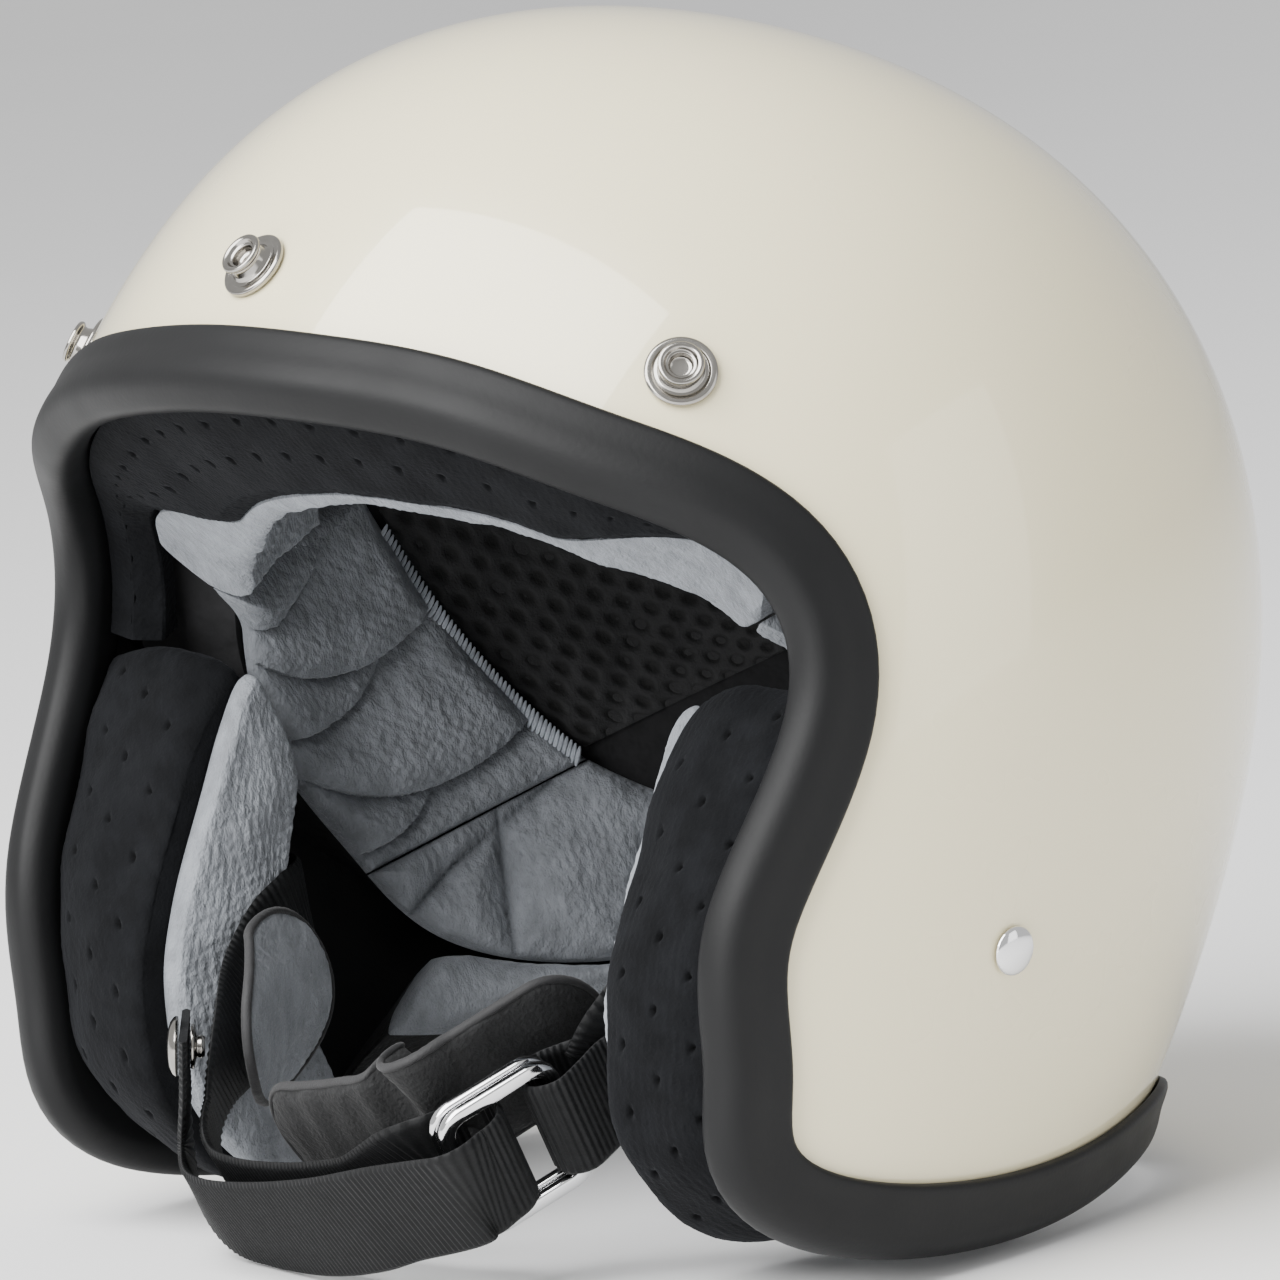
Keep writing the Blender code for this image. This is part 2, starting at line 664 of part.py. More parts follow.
def build_cheek(label, sign):
    """Backing plate against the shell, suede-covered pad and fleece face, outside to inside."""
    flip = np.array([sign, 1, 1])
    backing_depth = SHELL_WALL + 3 * LAYER_GAP
    pad_depth = SHELL_WALL + TRIM_GAP + 0.0033 + 0.0012
    seam_x = CHEEK_FACE_X + FLEECE_THICKNESS
    inner = np.asarray(PAD_INNER)
    outer = np.asarray(PAD_OUTER)
    plate = shrink(outer, 0.7)
    backing = [
        cheek_section(plate, lambda y, z: side_x(y, z, backing_depth)),
        cheek_section(plate, lambda y, z: side_x(y, z, backing_depth + BACKING_WALL)),
    ]
    skin_rings("cheek_backing_" + label, [stand(ring * flip) for ring in backing], PLASTIC)
    pad = [
        cheek_section(outer, lambda y, z: side_x(y, z, pad_depth + 0.0025)),
        cheek_section(shrink(inner * 0.4 + outer * 0.6, 1.02), lambda y, z: 0.086),
        cheek_section(inner, lambda y, z: seam_x),
    ]
    skin_rings("cheek_pad_" + label, [stand(ring * flip) for ring in pad], SUEDE)
    fleece = [
        cheek_section(inner, lambda y, z: seam_x - LAYER_GAP),
        cheek_section(shrink(inner, 0.99), lambda y, z: CHEEK_FACE_X + 0.0015),
        cheek_section(shrink(inner, 0.86), lambda y, z: CHEEK_FACE_X),
    ]
    skin_rings("cheek_fleece_" + label, [stand(ring * flip) for ring in fleece], FLEECE)


# ---------------------------------------------------------------- fasteners
def build_stud(label, point, normal):
    frame = facing(point, normal)
    lift = 0.0004
    top = lift + STUD_HEIGHT
    inside = -(SHELL_WALL + 0.0028)
    profile = (
        (0, inside), (SHANK_RADIUS * 1.3, inside), (SHANK_RADIUS * 1.3, inside + 0.0004),
        (SHANK_RADIUS, inside + 0.0004), (SHANK_RADIUS, lift), (STUD_RADIUS, lift),
        (STUD_RADIUS, lift + 0.0008), (STUD_RADIUS - 0.0003, lift + 0.0011), (0.0043, lift + 0.0011),
        (0.0037, top - 0.0018), (0.0044, top - 0.0011), (0.0043, top - 0.0003), (0.0036, top),
        (0.0027, top - 0.0003), (0.0022, top - 0.0022), (0, top - 0.0024),
    )
    turned("snap_stud_" + label, profile, frame, NICKEL, 20)
    low, high = -(SHELL_WALL + 0.002), -(SHELL_WALL + 0.0011)
    hole = SHANK_RADIUS + SHANK_GAP
    loop = ((hole, low), (0.0055, low), (0.0055, high), (hole, high))
    turned_ring("snap_washer_" + label, loop, frame, STEEL, 16)


def build_rivet(label, point, normal):
    frame = facing(point, normal)
    head = -(PLATE_INSET + PLATE_WALL + 0.0018)
    dome = ((RIVET_RADIUS, 0.0005), (RIVET_RADIUS * 0.97, 0.0009), (RIVET_RADIUS * 0.75, 0.0017),
            (RIVET_RADIUS * 0.4, 0.0022), (0, 0.0024))
    profile = ((0, head - 0.0014), (0.0042, head - 0.0012), (0.0044, head), (RIVET_SHANK, head),
               (RIVET_SHANK, 0.0005)) + dome
    turned("rivet_" + label, profile, frame, CHROME, 20)


def build_anchor(label, sign):
    """Strap anchor plate that turns on the rivet: a disc with a tab reaching forward."""
    x_out = abs(RIVETS[label][0][0]) - PLATE_INSET
    bore = RIVET_SHANK + 0.0012
    angles = np.arange(24) / 24 * 2 * math.pi
    outer, hole = [], []
    for angle in angles:
        c, s = math.cos(angle), math.sin(angle)
        hole.append((bore * c, bore * s))
        stretch = PLATE_TAB / PLATE_RADIUS if c < -0.75 else 1.0
        outer.append((PLATE_RADIUS * c * stretch, PLATE_RADIUS * s))
    loops = []
    for x in (x_out, x_out - PLATE_WALL):
        loops.append([(sign * x, HINGE[1] + y, HINGE[2] + z) for y, z in outer])
    for x in (x_out - PLATE_WALL, x_out):
        loops.append([(sign * x, HINGE[1] + y, HINGE[2] + z) for y, z in hole])
    skin_rings("strap_anchor_" + label, loops, STEEL, close=True, pivot=HINGE)


# ---------------------------------------------------------------- chin strap
# Ring frame: ALONG runs up the jaw towards the left rivet, ACROSS is the webbing's width.
RING_CENTRE = np.array([0.0420, -0.0620, -0.0600])
ACROSS = unit(np.array([0.245, -0.52, 0.8175]))
ALONG = unit(np.array([0.387, 0.826, 0.41]) - ACROSS * (np.array([0.387, 0.826, 0.41]) @ ACROSS))
OUTWARD = np.cross(ALONG, ACROSS)
RING_HEIGHT = WEB_WIDTH + 2 * RING_BAR + 0.002
BAR_OFFSET = (RING_LENGTH - RING_BAR) / 2
RIGHT_BAR = RING_CENTRE + ALONG * BAR_OFFSET
LEFT_BAR = RING_CENTRE - ALONG * BAR_OFFSET


def in_ring(along, out, across=0.0):
    """A point given in the ring frame about its far bar."""
    return RIGHT_BAR + ALONG * along + OUTWARD * out + ACROSS * across


def build_ring(name, out_shift, along_shift):
    """A flat chrome ring with rounded corners."""
    corner, steps = 0.006, 5
    loops = []
    half_wall = RING_WALL / 2
    for inset, level in ((0, -half_wall), (0, half_wall), (RING_BAR, half_wall), (RING_BAR, -half_wall)):
        length, height = RING_LENGTH / 2 - inset, RING_HEIGHT / 2 - inset
        fillet = max(corner - inset, 0.0028)
        loop = []
        for quarter, (i, j) in enumerate(((1, 1), (-1, 1), (-1, -1), (1, -1))):
            for k in range(steps):
                angle = (quarter + k / (steps - 1)) * math.pi / 2
                a = i * (length - fillet) + fillet * math.cos(angle)
                b = j * (height - fillet) + fillet * math.sin(angle)
                along = ALONG * (a + along_shift)
                loop.append(RING_CENTRE + along + ACROSS * b + OUTWARD * (out_shift + level))
        loops.append(stand(loop))
    skin_rings(name, loops, CHROME, close=True, pivot=stand(RIGHT_BAR))


UPRIGHT = (0.0, 0.0, 1.0)
# The webbing leaves the anchor plate on its inner face.
EXIT_X = RIVETS["left"][0][0] - PLATE_INSET - PLATE_WALL - 0.0005 - WEB_WALL / 2
# Each row is a point on the band's middle line and the direction of its width.
EXIT_ROUTE = (
    (EXIT_X, -0.0060, -0.0275, *UPRIGHT), (EXIT_X - 0.0007, -0.0112, -0.0280, *UPRIGHT),
    (EXIT_X - 0.0055, -0.0146, -0.0285, *UPRIGHT), (0.0920, -0.0160, -0.0290, *UPRIGHT),
    (0.0770, -0.0175, -0.0290, *UPRIGHT), (0.0665, -0.0210, -0.0292, 0.02, -0.1, 0.99),
    (0.0615, -0.0275, -0.0305, 0.05, -0.25, 0.96),
)
RIGHT_ROUTE = (
    (-0.0600, -0.0350, -0.0345, 0.0, -0.5, 0.87), (-0.0570, -0.0440, -0.0420, 0.1, -0.75, 0.65),
    (-0.0525, -0.0560, -0.0520, 0.5, -0.75, 0.45), (-0.0500, -0.0635, -0.0640, 0.68, -0.65, 0.3),
    (-0.0420, -0.0665, -0.0730, 0.35, -0.62, 0.7), (-0.0290, -0.0690, -0.0755, 0.15, -0.58, 0.8),
    (-0.0100, -0.0715, -0.0752, 0.1, -0.53, 0.84), (0.0080, -0.0730, -0.0727, 0.15, -0.52, 0.84),
    (0.0182, -0.0728, -0.0690, 0.2, -0.52, 0.82),
)
TAIL_ROUTE = (
    (0.0220, -0.0785, -0.0725, 0.2, -0.5, 0.84), (0.0080, -0.0785, -0.0757, 0.13, -0.5, 0.86),
    (-0.0100, -0.0765, -0.0783, 0.1, -0.52, 0.85), (-0.0290, -0.0735, -0.0795, 0.15, -0.58, 0.8),
    (-0.0430, -0.0710, -0.0785, 0.35, -0.6, 0.72), (-0.0510, -0.0690, -0.0730, 0.6, -0.62, 0.5),
    (-0.0535, -0.0675, -0.0640, 0.72, -0.65, 0.2), (-0.0515, -0.0680, -0.0540, 0.76, -0.64, 0.1),
    (-0.0497, -0.0680, -0.0420, 0.76, -0.64, 0.1),
)


def mirrored(route):
    """The same route on the wearer's right."""
    return [(-r[0], r[1], r[2], -r[3], r[4], r[5]) for r in route]


def build_strap_right():
    """Long strap: right anchor, under the chin and through both rings."""
    through = []
    behind = RING_WALL + RING_GAP / 2 + RING_CLEARANCE + WEB_WALL / 2
    for along, out in ((-0.003, -behind - 0.0020), (0.002, -behind - 0.0004), (0.006, -behind)):
        through.append((*in_ring(along - 2 * BAR_OFFSET, out), *ACROSS))
    route = list(mirrored(EXIT_ROUTE)) + list(RIGHT_ROUTE) + through
    ribbon("strap_long", route, WEB_WIDTH, WEB_WALL, WEBBING, 56, pivot=HINGE)


def build_tail():
    """Free end of the strap: folded over the rings' near bars and snapped beside the sling."""
    front = RING_WALL + RING_GAP / 2 + RING_CLEARANCE + WEB_WALL / 2
    fold = []
    for along, out in ((0.0098, -front * 0.6), (0.0118, 0.0), (0.0105, front * 0.7), (0.006, front),
                       (-0.003, front)):
        fold.append((*in_ring(-BAR_OFFSET * 2 + along, out), *ACROSS))
    ribbon("strap_tail", fold + list(TAIL_ROUTE), WEB_WIDTH, WEB_WALL, WEBBING, 44,
           pivot=stand(LEFT_BAR))


def build_strap_left():
    """Short strap: left anchor to the rings, turned round their far bars and back on itself."""
    turn = RING_WALL + RING_GAP + WEB_WALL / 2 + 0.0012
    loop = []
    for along, out in ((0.012, -0.0014), (0.006, -0.0034), (0.0, -turn), (-0.0042, -turn * 0.62),
                       (-0.0054, 0.0), (-0.0042, turn * 0.62), (0.0, turn), (0.0055, 0.0036),
                       (0.011, 0.0017), (0.017, 0.0014)):
        loop.append((*in_ring(along, out), *ACROSS))
    route = list(EXIT_ROUTE) + [(0.0588, -0.0350, -0.0350, 0.1, -0.4, 0.9),
                                (0.0556, -0.0400, -0.0410, 0.2, -0.5, 0.85)] + loop
    ribbon("strap_short", route, WEB_WIDTH, WEB_WALL, WEBBING, 64, pivot=HINGE)


def build_chin_flap():
    """Padded flap behind the rings, from under the chin up towards the left rivet."""
    tip = ((-0.0270, -0.0615, -0.0650, 0.1, -0.52, 0.84), (-0.0096, -0.0630, -0.0635, 0.12, -0.52, 0.84),
           (0.0080, -0.0635, -0.0605, 0.15, -0.52, 0.83), (0.0190, -0.0630, -0.0565, 0.2, -0.52, 0.82))
    behind = []
    for along in (-BAR_OFFSET * 2 + 0.004, -BAR_OFFSET, 0.004, 0.018):
        behind.append((*in_ring(along, -FLAP_OFFSET, FLAP_RAISE), *ACROSS))
    ribbon("chin_flap", list(tip) + behind, FLAP_WIDTH, FLAP_WALL, SUEDE, 16, pivot=HINGE)


def build_sleeve():
    """Padded sleeve beside the long strap on the wearer's right."""
    route = ((-0.0545, -0.0330, -0.0270, 0.1, -0.5, 0.85), (-0.0510, -0.0400, -0.0375, 0.25, -0.75, 0.6),
             (-0.0465, -0.0500, -0.0480, 0.5, -0.72, 0.48), (-0.0435, -0.0560, -0.0580, 0.6, -0.65, 0.45))
    ribbon("strap_sleeve", route, SLEEVE_WIDTH, SLEEVE_WALL, FLEECE, 10, pivot=HINGE)


def build_tail_snap():
    """Snap cap on the tail's outer face and its stud on the inner face."""
    point = np.array(TAIL_ROUTE[-2][:3]) * 0.35 + np.array(TAIL_ROUTE[-1][:3]) * 0.65
    along = unit(np.array(TAIL_ROUTE[-1][:3]) - np.array(TAIL_ROUTE[-2][:3]))
    outward = unit(np.cross(along, TAIL_ROUTE[-1][3:]))
    outward = outward * (1 if outward[0] < 0 else -1)
    lift = WEB_WALL / 2 + 0.0005
    frame = facing(stand(point), outward)
    cap = ((0, lift), (0.006, lift), (0.006, lift + 0.0007), (0.0048, lift + 0.0016),
           (0.0025, lift + 0.0021), (0, lift + 0.0022))
    turned("tail_snap_cap", cap, frame, NICKEL, 20, pivot=stand(LEFT_BAR))
    post = ((0, -lift - 0.0028), (0.0022, -lift - 0.0026), (0.0024, -lift - 0.0009),
            (0.0045, -lift - 0.0007),
            (0.0045, -lift), (0, -lift))
    turned("tail_snap_stud", post, frame, NICKEL, 16, pivot=stand(LEFT_BAR))


def build_all():
    build_shell()
    build_trim()
    build_foam()
    build_soft_layers()
    build_brow_band()
    build_neck_roll()
    for label, sign in SIDES.items():
        build_cheek(label, sign)
        build_rivet(label, *RIVETS[label])
        build_anchor(label, sign)
    for label, (point, normal) in STUDS.items():
        build_stud(label, point, normal)
    half_stack = (RING_WALL + RING_GAP) / 2
    build_ring("d_ring_outer", half_stack, 0.0)
    build_ring("d_ring_inner", -half_stack, -0.0006)
    build_strap_right()
    build_tail()
    build_strap_left()
    build_chin_flap()
    build_sleeve()
    build_tail_snap()


build_all()
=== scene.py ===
"""Open face motorcycle helmet: the visible model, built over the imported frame.

Units are metres.  +X is the wearer's left, -Y is the front and +Z is up.
"""
import math

import bmesh
import bpy
import numpy as np
from mathutils import Matrix, Vector


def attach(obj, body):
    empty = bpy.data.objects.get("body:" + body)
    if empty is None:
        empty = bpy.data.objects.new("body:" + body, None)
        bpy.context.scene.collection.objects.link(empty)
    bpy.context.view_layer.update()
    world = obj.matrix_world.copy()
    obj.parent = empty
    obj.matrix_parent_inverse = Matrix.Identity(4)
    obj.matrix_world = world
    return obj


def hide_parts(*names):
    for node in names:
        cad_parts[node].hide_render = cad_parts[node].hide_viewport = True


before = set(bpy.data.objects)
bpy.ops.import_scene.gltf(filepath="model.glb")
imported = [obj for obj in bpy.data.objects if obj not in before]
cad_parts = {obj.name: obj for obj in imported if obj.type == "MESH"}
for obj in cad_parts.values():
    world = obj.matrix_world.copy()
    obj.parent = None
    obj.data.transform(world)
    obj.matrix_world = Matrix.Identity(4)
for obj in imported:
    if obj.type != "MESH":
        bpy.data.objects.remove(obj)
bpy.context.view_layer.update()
RNG = np.random.default_rng(7)

# ---------------------------------------------------------------- shape, as in the CAD model
LEAN = math.radians(25.0)
CENTRE = np.array([0.0, -0.0251, 0.0901])
WIDTH, FRONT, BACK, CROWN, LOWER = 0.248, 0.1228, 0.1276, 0.152, 0.2116
WALL = 0.004
OPENING_DIP = math.radians(38.0)
RIM_ANGLES = (60.3, 61.6, 65.5, 71.0, 78.3, 75.5, 62.2, 58.9, 65.5, 104.5, 119.2, 126.1, 127.4)
FOAM_ANGLES = (65.6, 67.0, 70.7, 76.5, 84.0, 83.0, 88.0, 97.0, 108.0, 123.0, 136.0, 144.0, 146.0)
PAD_ANGLES = (67.6, 69.0, 72.7, 79.0, 87.0, 85.5, 86.0, 91.5, 98.0, 114.0, 131.0, 138.5, 140.0)
FOAM_DEPTH, FOAM_WALL = 0.0075, 0.0245
PAD_DEPTH, PAD_THICKNESS = 0.0337, 0.008
FLANGE, BEAD, SKIN, GAP = 0.0095, 0.0066, 0.0027, 0.0005
CHEEK_FACE_X, FLEECE = 0.066, 0.005


def soft_power(value, power):
    k = 0.22
    full = (1 + k * k) ** (power / 2) - k ** power
    return ((value * value + k * k) ** (power / 2) - k ** power) / full


def radius(d):
    x, y, z = d[..., 0], d[..., 1], d[..., 2]
    half_width = WIDTH / 2 * (1 + 0.085 * z)
    depth = (FRONT + BACK) / 2 + (BACK - FRONT) / 2 * y + 0.0077 * y * z
    height = (CROWN + LOWER) / 2 + (CROWN - LOWER) / 2 * z
    power = 2.0 + 0.15 * y
    plan = soft_power(x, power) / half_width ** power + soft_power(y, power) / depth ** power
    return (plan ** (2.2 / power) + soft_power(z, 2.2) / height ** 2.2) ** (-1 / 2.2)


def unit(v):
    v = np.asarray(v, float)
    return v / np.linalg.norm(v, axis=-1, keepdims=True)


AXIS = np.array([0.0, -math.cos(OPENING_DIP), -math.sin(OPENING_DIP)])
AXIS_UP = np.array([0.0, -math.sin(OPENING_DIP), math.cos(OPENING_DIP)])
AXIS_SIDE = np.array([1.0, 0.0, 0.0])


def look(turn, tilt):
    turn, tilt = np.radians(turn), np.radians(tilt)
    ring = np.cos(turn)[..., None] * AXIS_UP + np.sin(turn)[..., None] * AXIS_SIDE
    return np.cos(tilt)[..., None] * AXIS + np.sin(tilt)[..., None] * ring


def on_shell(turn, tilt, depth=0.0):
    turn, tilt, depth = np.broadcast_arrays(*(np.asarray(a, float) for a in (turn, tilt, depth)))
    d = look(turn, tilt)
    return d * (radius(d) - depth)[..., None]


def ring_curve(half_values, turn):
    values = np.array(list(half_values) + list(half_values[-2:0:-1]), float)
    count = len(values)
    matrix = 4 * np.eye(count) + np.roll(np.eye(count), 1, 0) + np.roll(np.eye(count), -1, 0)
    bend = np.linalg.solve(matrix, 6 * (np.roll(values, -1) - 2 * values + np.roll(values, 1)))
    at = np.mod(np.asarray(turn, float), 360.0) / (360.0 / count)
    low = np.floor(at).astype(int) % count
    high = (low + 1) % count
    f = at - np.floor(at)
    g = 1 - f
    return g * values[low] + f * values[high] + ((g ** 3 - g) * bend[low] + (f ** 3 - f) * bend[high]) / 6


def surface_normal(points):
    slope = []
    for axis in np.eye(3) * 1e-5:
        ahead, behind = points + axis, points - axis
        slope.append(np.linalg.norm(ahead, axis=-1) / radius(unit(ahead))
                     - np.linalg.norm(behind, axis=-1) / radius(unit(behind)))
    return unit(np.stack(slope, -1))


def to_world(p):
    p = np.asarray(p, float)
    y = p[..., 1] * math.cos(LEAN) + p[..., 2] * math.sin(LEAN)
    z = -p[..., 1] * math.sin(LEAN) + p[..., 2] * math.cos(LEAN)
    return np.stack([p[..., 0], y, z], -1) + CENTRE


def side_x(y, z, depth):
    """Half-width of the shell at (y, z) about the centre, at a depth below its outer face."""
    low, high = np.full(np.shape(y), 0.02), np.full(np.shape(y), 0.25)
    for _ in range(30):
        mid = (low + high) / 2
        p = np.stack([mid, y * math.cos(LEAN) - z * math.sin(LEAN),
                      y * math.sin(LEAN) + z * math.cos(LEAN)], -1)
        inside = np.linalg.norm(p, axis=-1) < radius(unit(p)) - depth
        low, high = np.where(inside, mid, low), np.where(inside, high, mid)
    return low


STATIONS = 320
dense = np.linspace(0.0, 360.0, 2881)
dense_points = on_shell(dense, ring_curve(RIM_ANGLES, dense))
travel = np.concatenate([[0.0], np.cumsum(np.linalg.norm(np.diff(dense_points, axis=0), axis=1))])
TURNS = np.interp(np.arange(STATIONS) / STATIONS * travel[-1], travel, dense)
RIM = on_shell(TURNS, ring_curve(RIM_ANGLES, TURNS))
RIM_OUT = surface_normal(RIM)
RIM_ALONG = unit(np.roll(RIM, -1, 0) - np.roll(RIM, 1, 0))
RIM_INTO = unit(np.cross(RIM_OUT, RIM_ALONG))


def rim_offset(onto, out):
    d = unit(RIM + RIM_INTO * onto)
    base = d * radius(d)[:, None]
    return base + surface_normal(base) * out


# ---------------------------------------------------------------- materials
def link(tree, a, b):
    tree.links.new(a, b)


def surface(name, colour, roughness, metallic=0.0, sheen=0.0, coat=0.0, tint=None, vary=0.12,
            vary_scale=60.0, rough_vary=0.06, bumps=(), stretch=(1, 1, 1), painted_shade=None, coat_roughness=0.03, ior=1.5):
    """A procedural Principled material: colour and roughness that vary, layered fine bumps, and painted shade where
    the mesh marks holes and seam creases.
    """
    m = bpy.data.materials.new(name)
    m.use_nodes = True
    t = m.node_tree
    s = t.nodes["Principled BSDF"]
    s.inputs["Metallic"].default_value = metallic
    s.inputs["Sheen Weight"].default_value = sheen
    s.inputs["Sheen Roughness"].default_value = 0.45
    s.inputs["Sheen Tint"].default_value = (*(tint or (1, 1, 1)), 1)
    s.inputs["Coat Weight"].default_value = coat
    s.inputs["Coat Roughness"].default_value = coat_roughness
    s.inputs["IOR"].default_value = ior
    m.diffuse_color = (*colour, 1)
    where = t.nodes.new("ShaderNodeTexCoord")
    scale = t.nodes.new("ShaderNodeMapping")
    scale.inputs["Scale"].default_value = stretch
    link(t, where.outputs["Object"], scale.inputs["Vector"])

    def noise(size, detail=3.0):
        n = t.nodes.new("ShaderNodeTexNoise")
        n.inputs["Scale"].default_value = size
        n.inputs["Detail"].default_value = detail
        link(t, scale.outputs["Vector"], n.inputs["Vector"])
        return n.outputs["Fac"]

    ramp = t.nodes.new("ShaderNodeValToRGB")
    ramp.color_ramp.elements[0].position = 0.3
    ramp.color_ramp.elements[1].position = 0.7
    ramp.color_ramp.elements[0].color = (*[c * (1 - vary) for c in colour], 1)
    ramp.color_ramp.elements[1].color = (*[min(c * (1 + vary), 1) for c in colour], 1)
    link(t, noise(vary_scale), ramp.inputs["Fac"])
    base = ramp.outputs["Color"]
    # Painted shade: the colour is mixed towards the given dark colour wherever the mesh's mask marks holes and seam
    # creases.
    if painted_shade:
        att = t.nodes.new("ShaderNodeAttribute")
        att.attribute_name = "painted_shade"
        mix = t.nodes.new("ShaderNodeMix")
        mix.data_type = "RGBA"
        mix.inputs["B"].default_value = (*painted_shade, 1)
        link(t, att.outputs["Fac"], mix.inputs["Factor"])
        link(t, base, mix.inputs["A"])
        base = mix.outputs["Result"]
    link(t, base, s.inputs["Base Color"])
    spread = t.nodes.new("ShaderNodeMapRange")
    spread.inputs["To Min"].default_value = max(roughness - rough_vary, 0.0)
    spread.inputs["To Max"].default_value = min(roughness + rough_vary, 1.0)
    link(t, noise(vary_scale * 1.7), spread.inputs["Value"])
    link(t, spread.outputs["Result"], s.inputs["Roughness"])
    last = None
    for size, strength, distance in bumps:
        b = t.nodes.new("ShaderNodeBump")
        b.inputs["Strength"].default_value = strength
        b.inputs["Distance"].default_value = distance
        link(t, noise(size, 2.0), b.inputs["Height"])
        if last is not None:
            link(t, last, b.inputs["Normal"])
        last = b.outputs["Normal"]
    if last is not None:
        link(t, last, s.inputs["Normal"])
    return m


IVORY = surface("gloss_ivory", (0.80, 0.725, 0.49), 0.28, coat=1.0, vary=0.012, vary_scale=14,
                rough_vary=0.03, bumps=((28, 0.02, 0.0012),), coat_roughness=0.04)
RUBBER = surface("matt_rubber", (0.006, 0.0062, 0.0066), 0.52, vary=0.12, vary_scale=45, rough_vary=0.06,
                 bumps=((900, 0.12, 0.0003),), ior=1.3)
# The dark colours given for holes are painted shade: near-black in the suede and mesh perforations, dark grey along
# the fleece's stitched seam creases.
SUEDE = surface("perforated_suede", (0.0045, 0.0048, 0.0056), 0.95, sheen=0.035, tint=(0.6, 0.63, 0.7),
                vary=0.3, vary_scale=160, bumps=((1500, 0.4, 0.0005),), painted_shade=(0.001, 0.001, 0.001), ior=1.2)
BRUSHED = surface("brushed_fleece", (0.19, 0.202, 0.22), 0.95, sheen=0.3, tint=(0.85, 0.9, 0.97), vary=0.2,
                  vary_scale=260, bumps=((700, 0.55, 0.0012), (2400, 0.5, 0.0006)), stretch=(1, 1, 0.6),
                  painted_shade=(0.03, 0.034, 0.04))
MESH = surface("black_mesh", (0.014, 0.014, 0.015), 0.75, sheen=0.1, vary=0.2, vary_scale=300,
               bumps=((1800, 0.4, 0.0004),), painted_shade=(0.001, 0.001, 0.001))
EPS = surface("foam_liner", (0.008, 0.008, 0.009), 0.9, vary=0.3, vary_scale=220,
              bumps=((260, 0.5, 0.0012),))
WEB = surface("ribbed_webbing", (0.005, 0.0053, 0.0058), 0.6, sheen=0.02, vary=0.25, vary_scale=420,
              bumps=((1600, 0.35, 0.0003),), ior=1.3)
THREAD = surface("grey_thread", (0.33, 0.36, 0.4), 0.8, sheen=0.5, vary=0.2, vary_scale=500,
                 bumps=((2500, 0.4, 0.0003),))
DARK_THREAD = surface("black_thread", (0.012, 0.012, 0.013), 0.7, sheen=0.1, vary=0.2, vary_scale=500,
                      bumps=((2500, 0.4, 0.0003),))
KNIT = surface("black_knit", (0.006, 0.0063, 0.0068), 0.85, sheen=0.05, vary=0.3, vary_scale=300,
               bumps=((1100, 0.6, 0.0006),))
NICKEL = surface("polished_nickel", (0.36, 0.345, 0.32), 0.16, metallic=1.0, vary=0.06,
                 vary_scale=300, rough_vary=0.07, bumps=((700, 0.04, 0.0002),))
CHROME = surface("bright_chrome", (0.82, 0.82, 0.83), 0.09, metallic=1.0, vary=0.03,
                 vary_scale=120, rough_vary=0.04, bumps=((500, 0.03, 0.0002),))
ZINC = surface("zinc_plate", (0.5, 0.5, 0.49), 0.38, metallic=1.0, vary=0.12, vary_scale=200,
               bumps=((900, 0.1, 0.0002),))
PLASTIC = surface("black_plastic", (0.016, 0.016, 0.017), 0.55, vary=0.15, vary_scale=90,
                  bumps=((1200, 0.2, 0.0003),))


# ---------------------------------------------------------------- mesh helpers
def quads(rows, cols, wrap_rows=False, wrap_cols=False, start=0):
    r = np.arange(rows if wrap_rows else rows - 1)[:, None]
    c = np.arange(cols if wrap_cols else cols - 1)[None, :]
    r1, c1 = (r + 1) % rows, (c + 1) % cols
    return (np.stack(np.broadcast_arrays(r * cols + c, r * cols + c1, r1 * cols + c1, r1 * cols + c), -1)
            .reshape(-1, 4) + start)


def piece(name, verts, faces, material, body, nodes=(), painted_shade=None, sharp=40, parts=None):
    """A closed mesh that rides on a body and stands for CAD nodes."""
    mesh = bpy.data.meshes.new(name)
    points = np.asarray(verts, float).reshape(-1, 3).tolist()
    mesh.from_pydata(points, [], [list(map(int, f)) for f in faces])
    # Painted shade: a per-point mask of the holes and seam creases that the material darkens.
    if painted_shade is not None:
        att = mesh.attributes.new("painted_shade", "FLOAT", "POINT")
        att.data.foreach_set("value", np.ascontiguousarray(painted_shade, dtype=np.float32).ravel())
    mesh.materials.append(material)
    if parts is not None:
        mesh.materials.append(parts[0])
        mesh.polygons.foreach_set("material_index", np.asarray(parts[1], dtype=np.int32))
    work = bmesh.new()
    work.from_mesh(mesh)
    bmesh.ops.recalc_face_normals(work, faces=work.faces)
    work.to_mesh(mesh)
    work.free()
    mesh.shade_smooth()
    mesh.set_sharp_from_angle(angle=math.radians(sharp))
    obj = bpy.data.objects.new(name, mesh)
    bpy.context.collection.objects.link(obj)
    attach(obj, body)
    if nodes:
        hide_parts(*nodes)
    return obj


def rings_mesh(rings, wrap=False, tips=None):
    """Verts and faces for rings of points, closed as a torus, with tips, or with end faces."""
    rings = np.asarray(rings, float)
    rows, cols = rings.shape[:2]
    verts = rings.reshape(-1, 3)
    faces = quads(rows, cols, wrap, True).tolist()
    if tips is not None:
        verts = np.vstack([verts, tips])
        for hub, start in ((rows * cols, 0), (rows * cols + 1, (rows - 1) * cols)):
            faces += [[hub, start + i, start + (i + 1) % cols] for i in range(cols)]
    elif not wrap:
        faces.append(list(range(cols)))
        faces.append(list(range((rows - 1) * cols, rows * cols)))
    return verts, faces


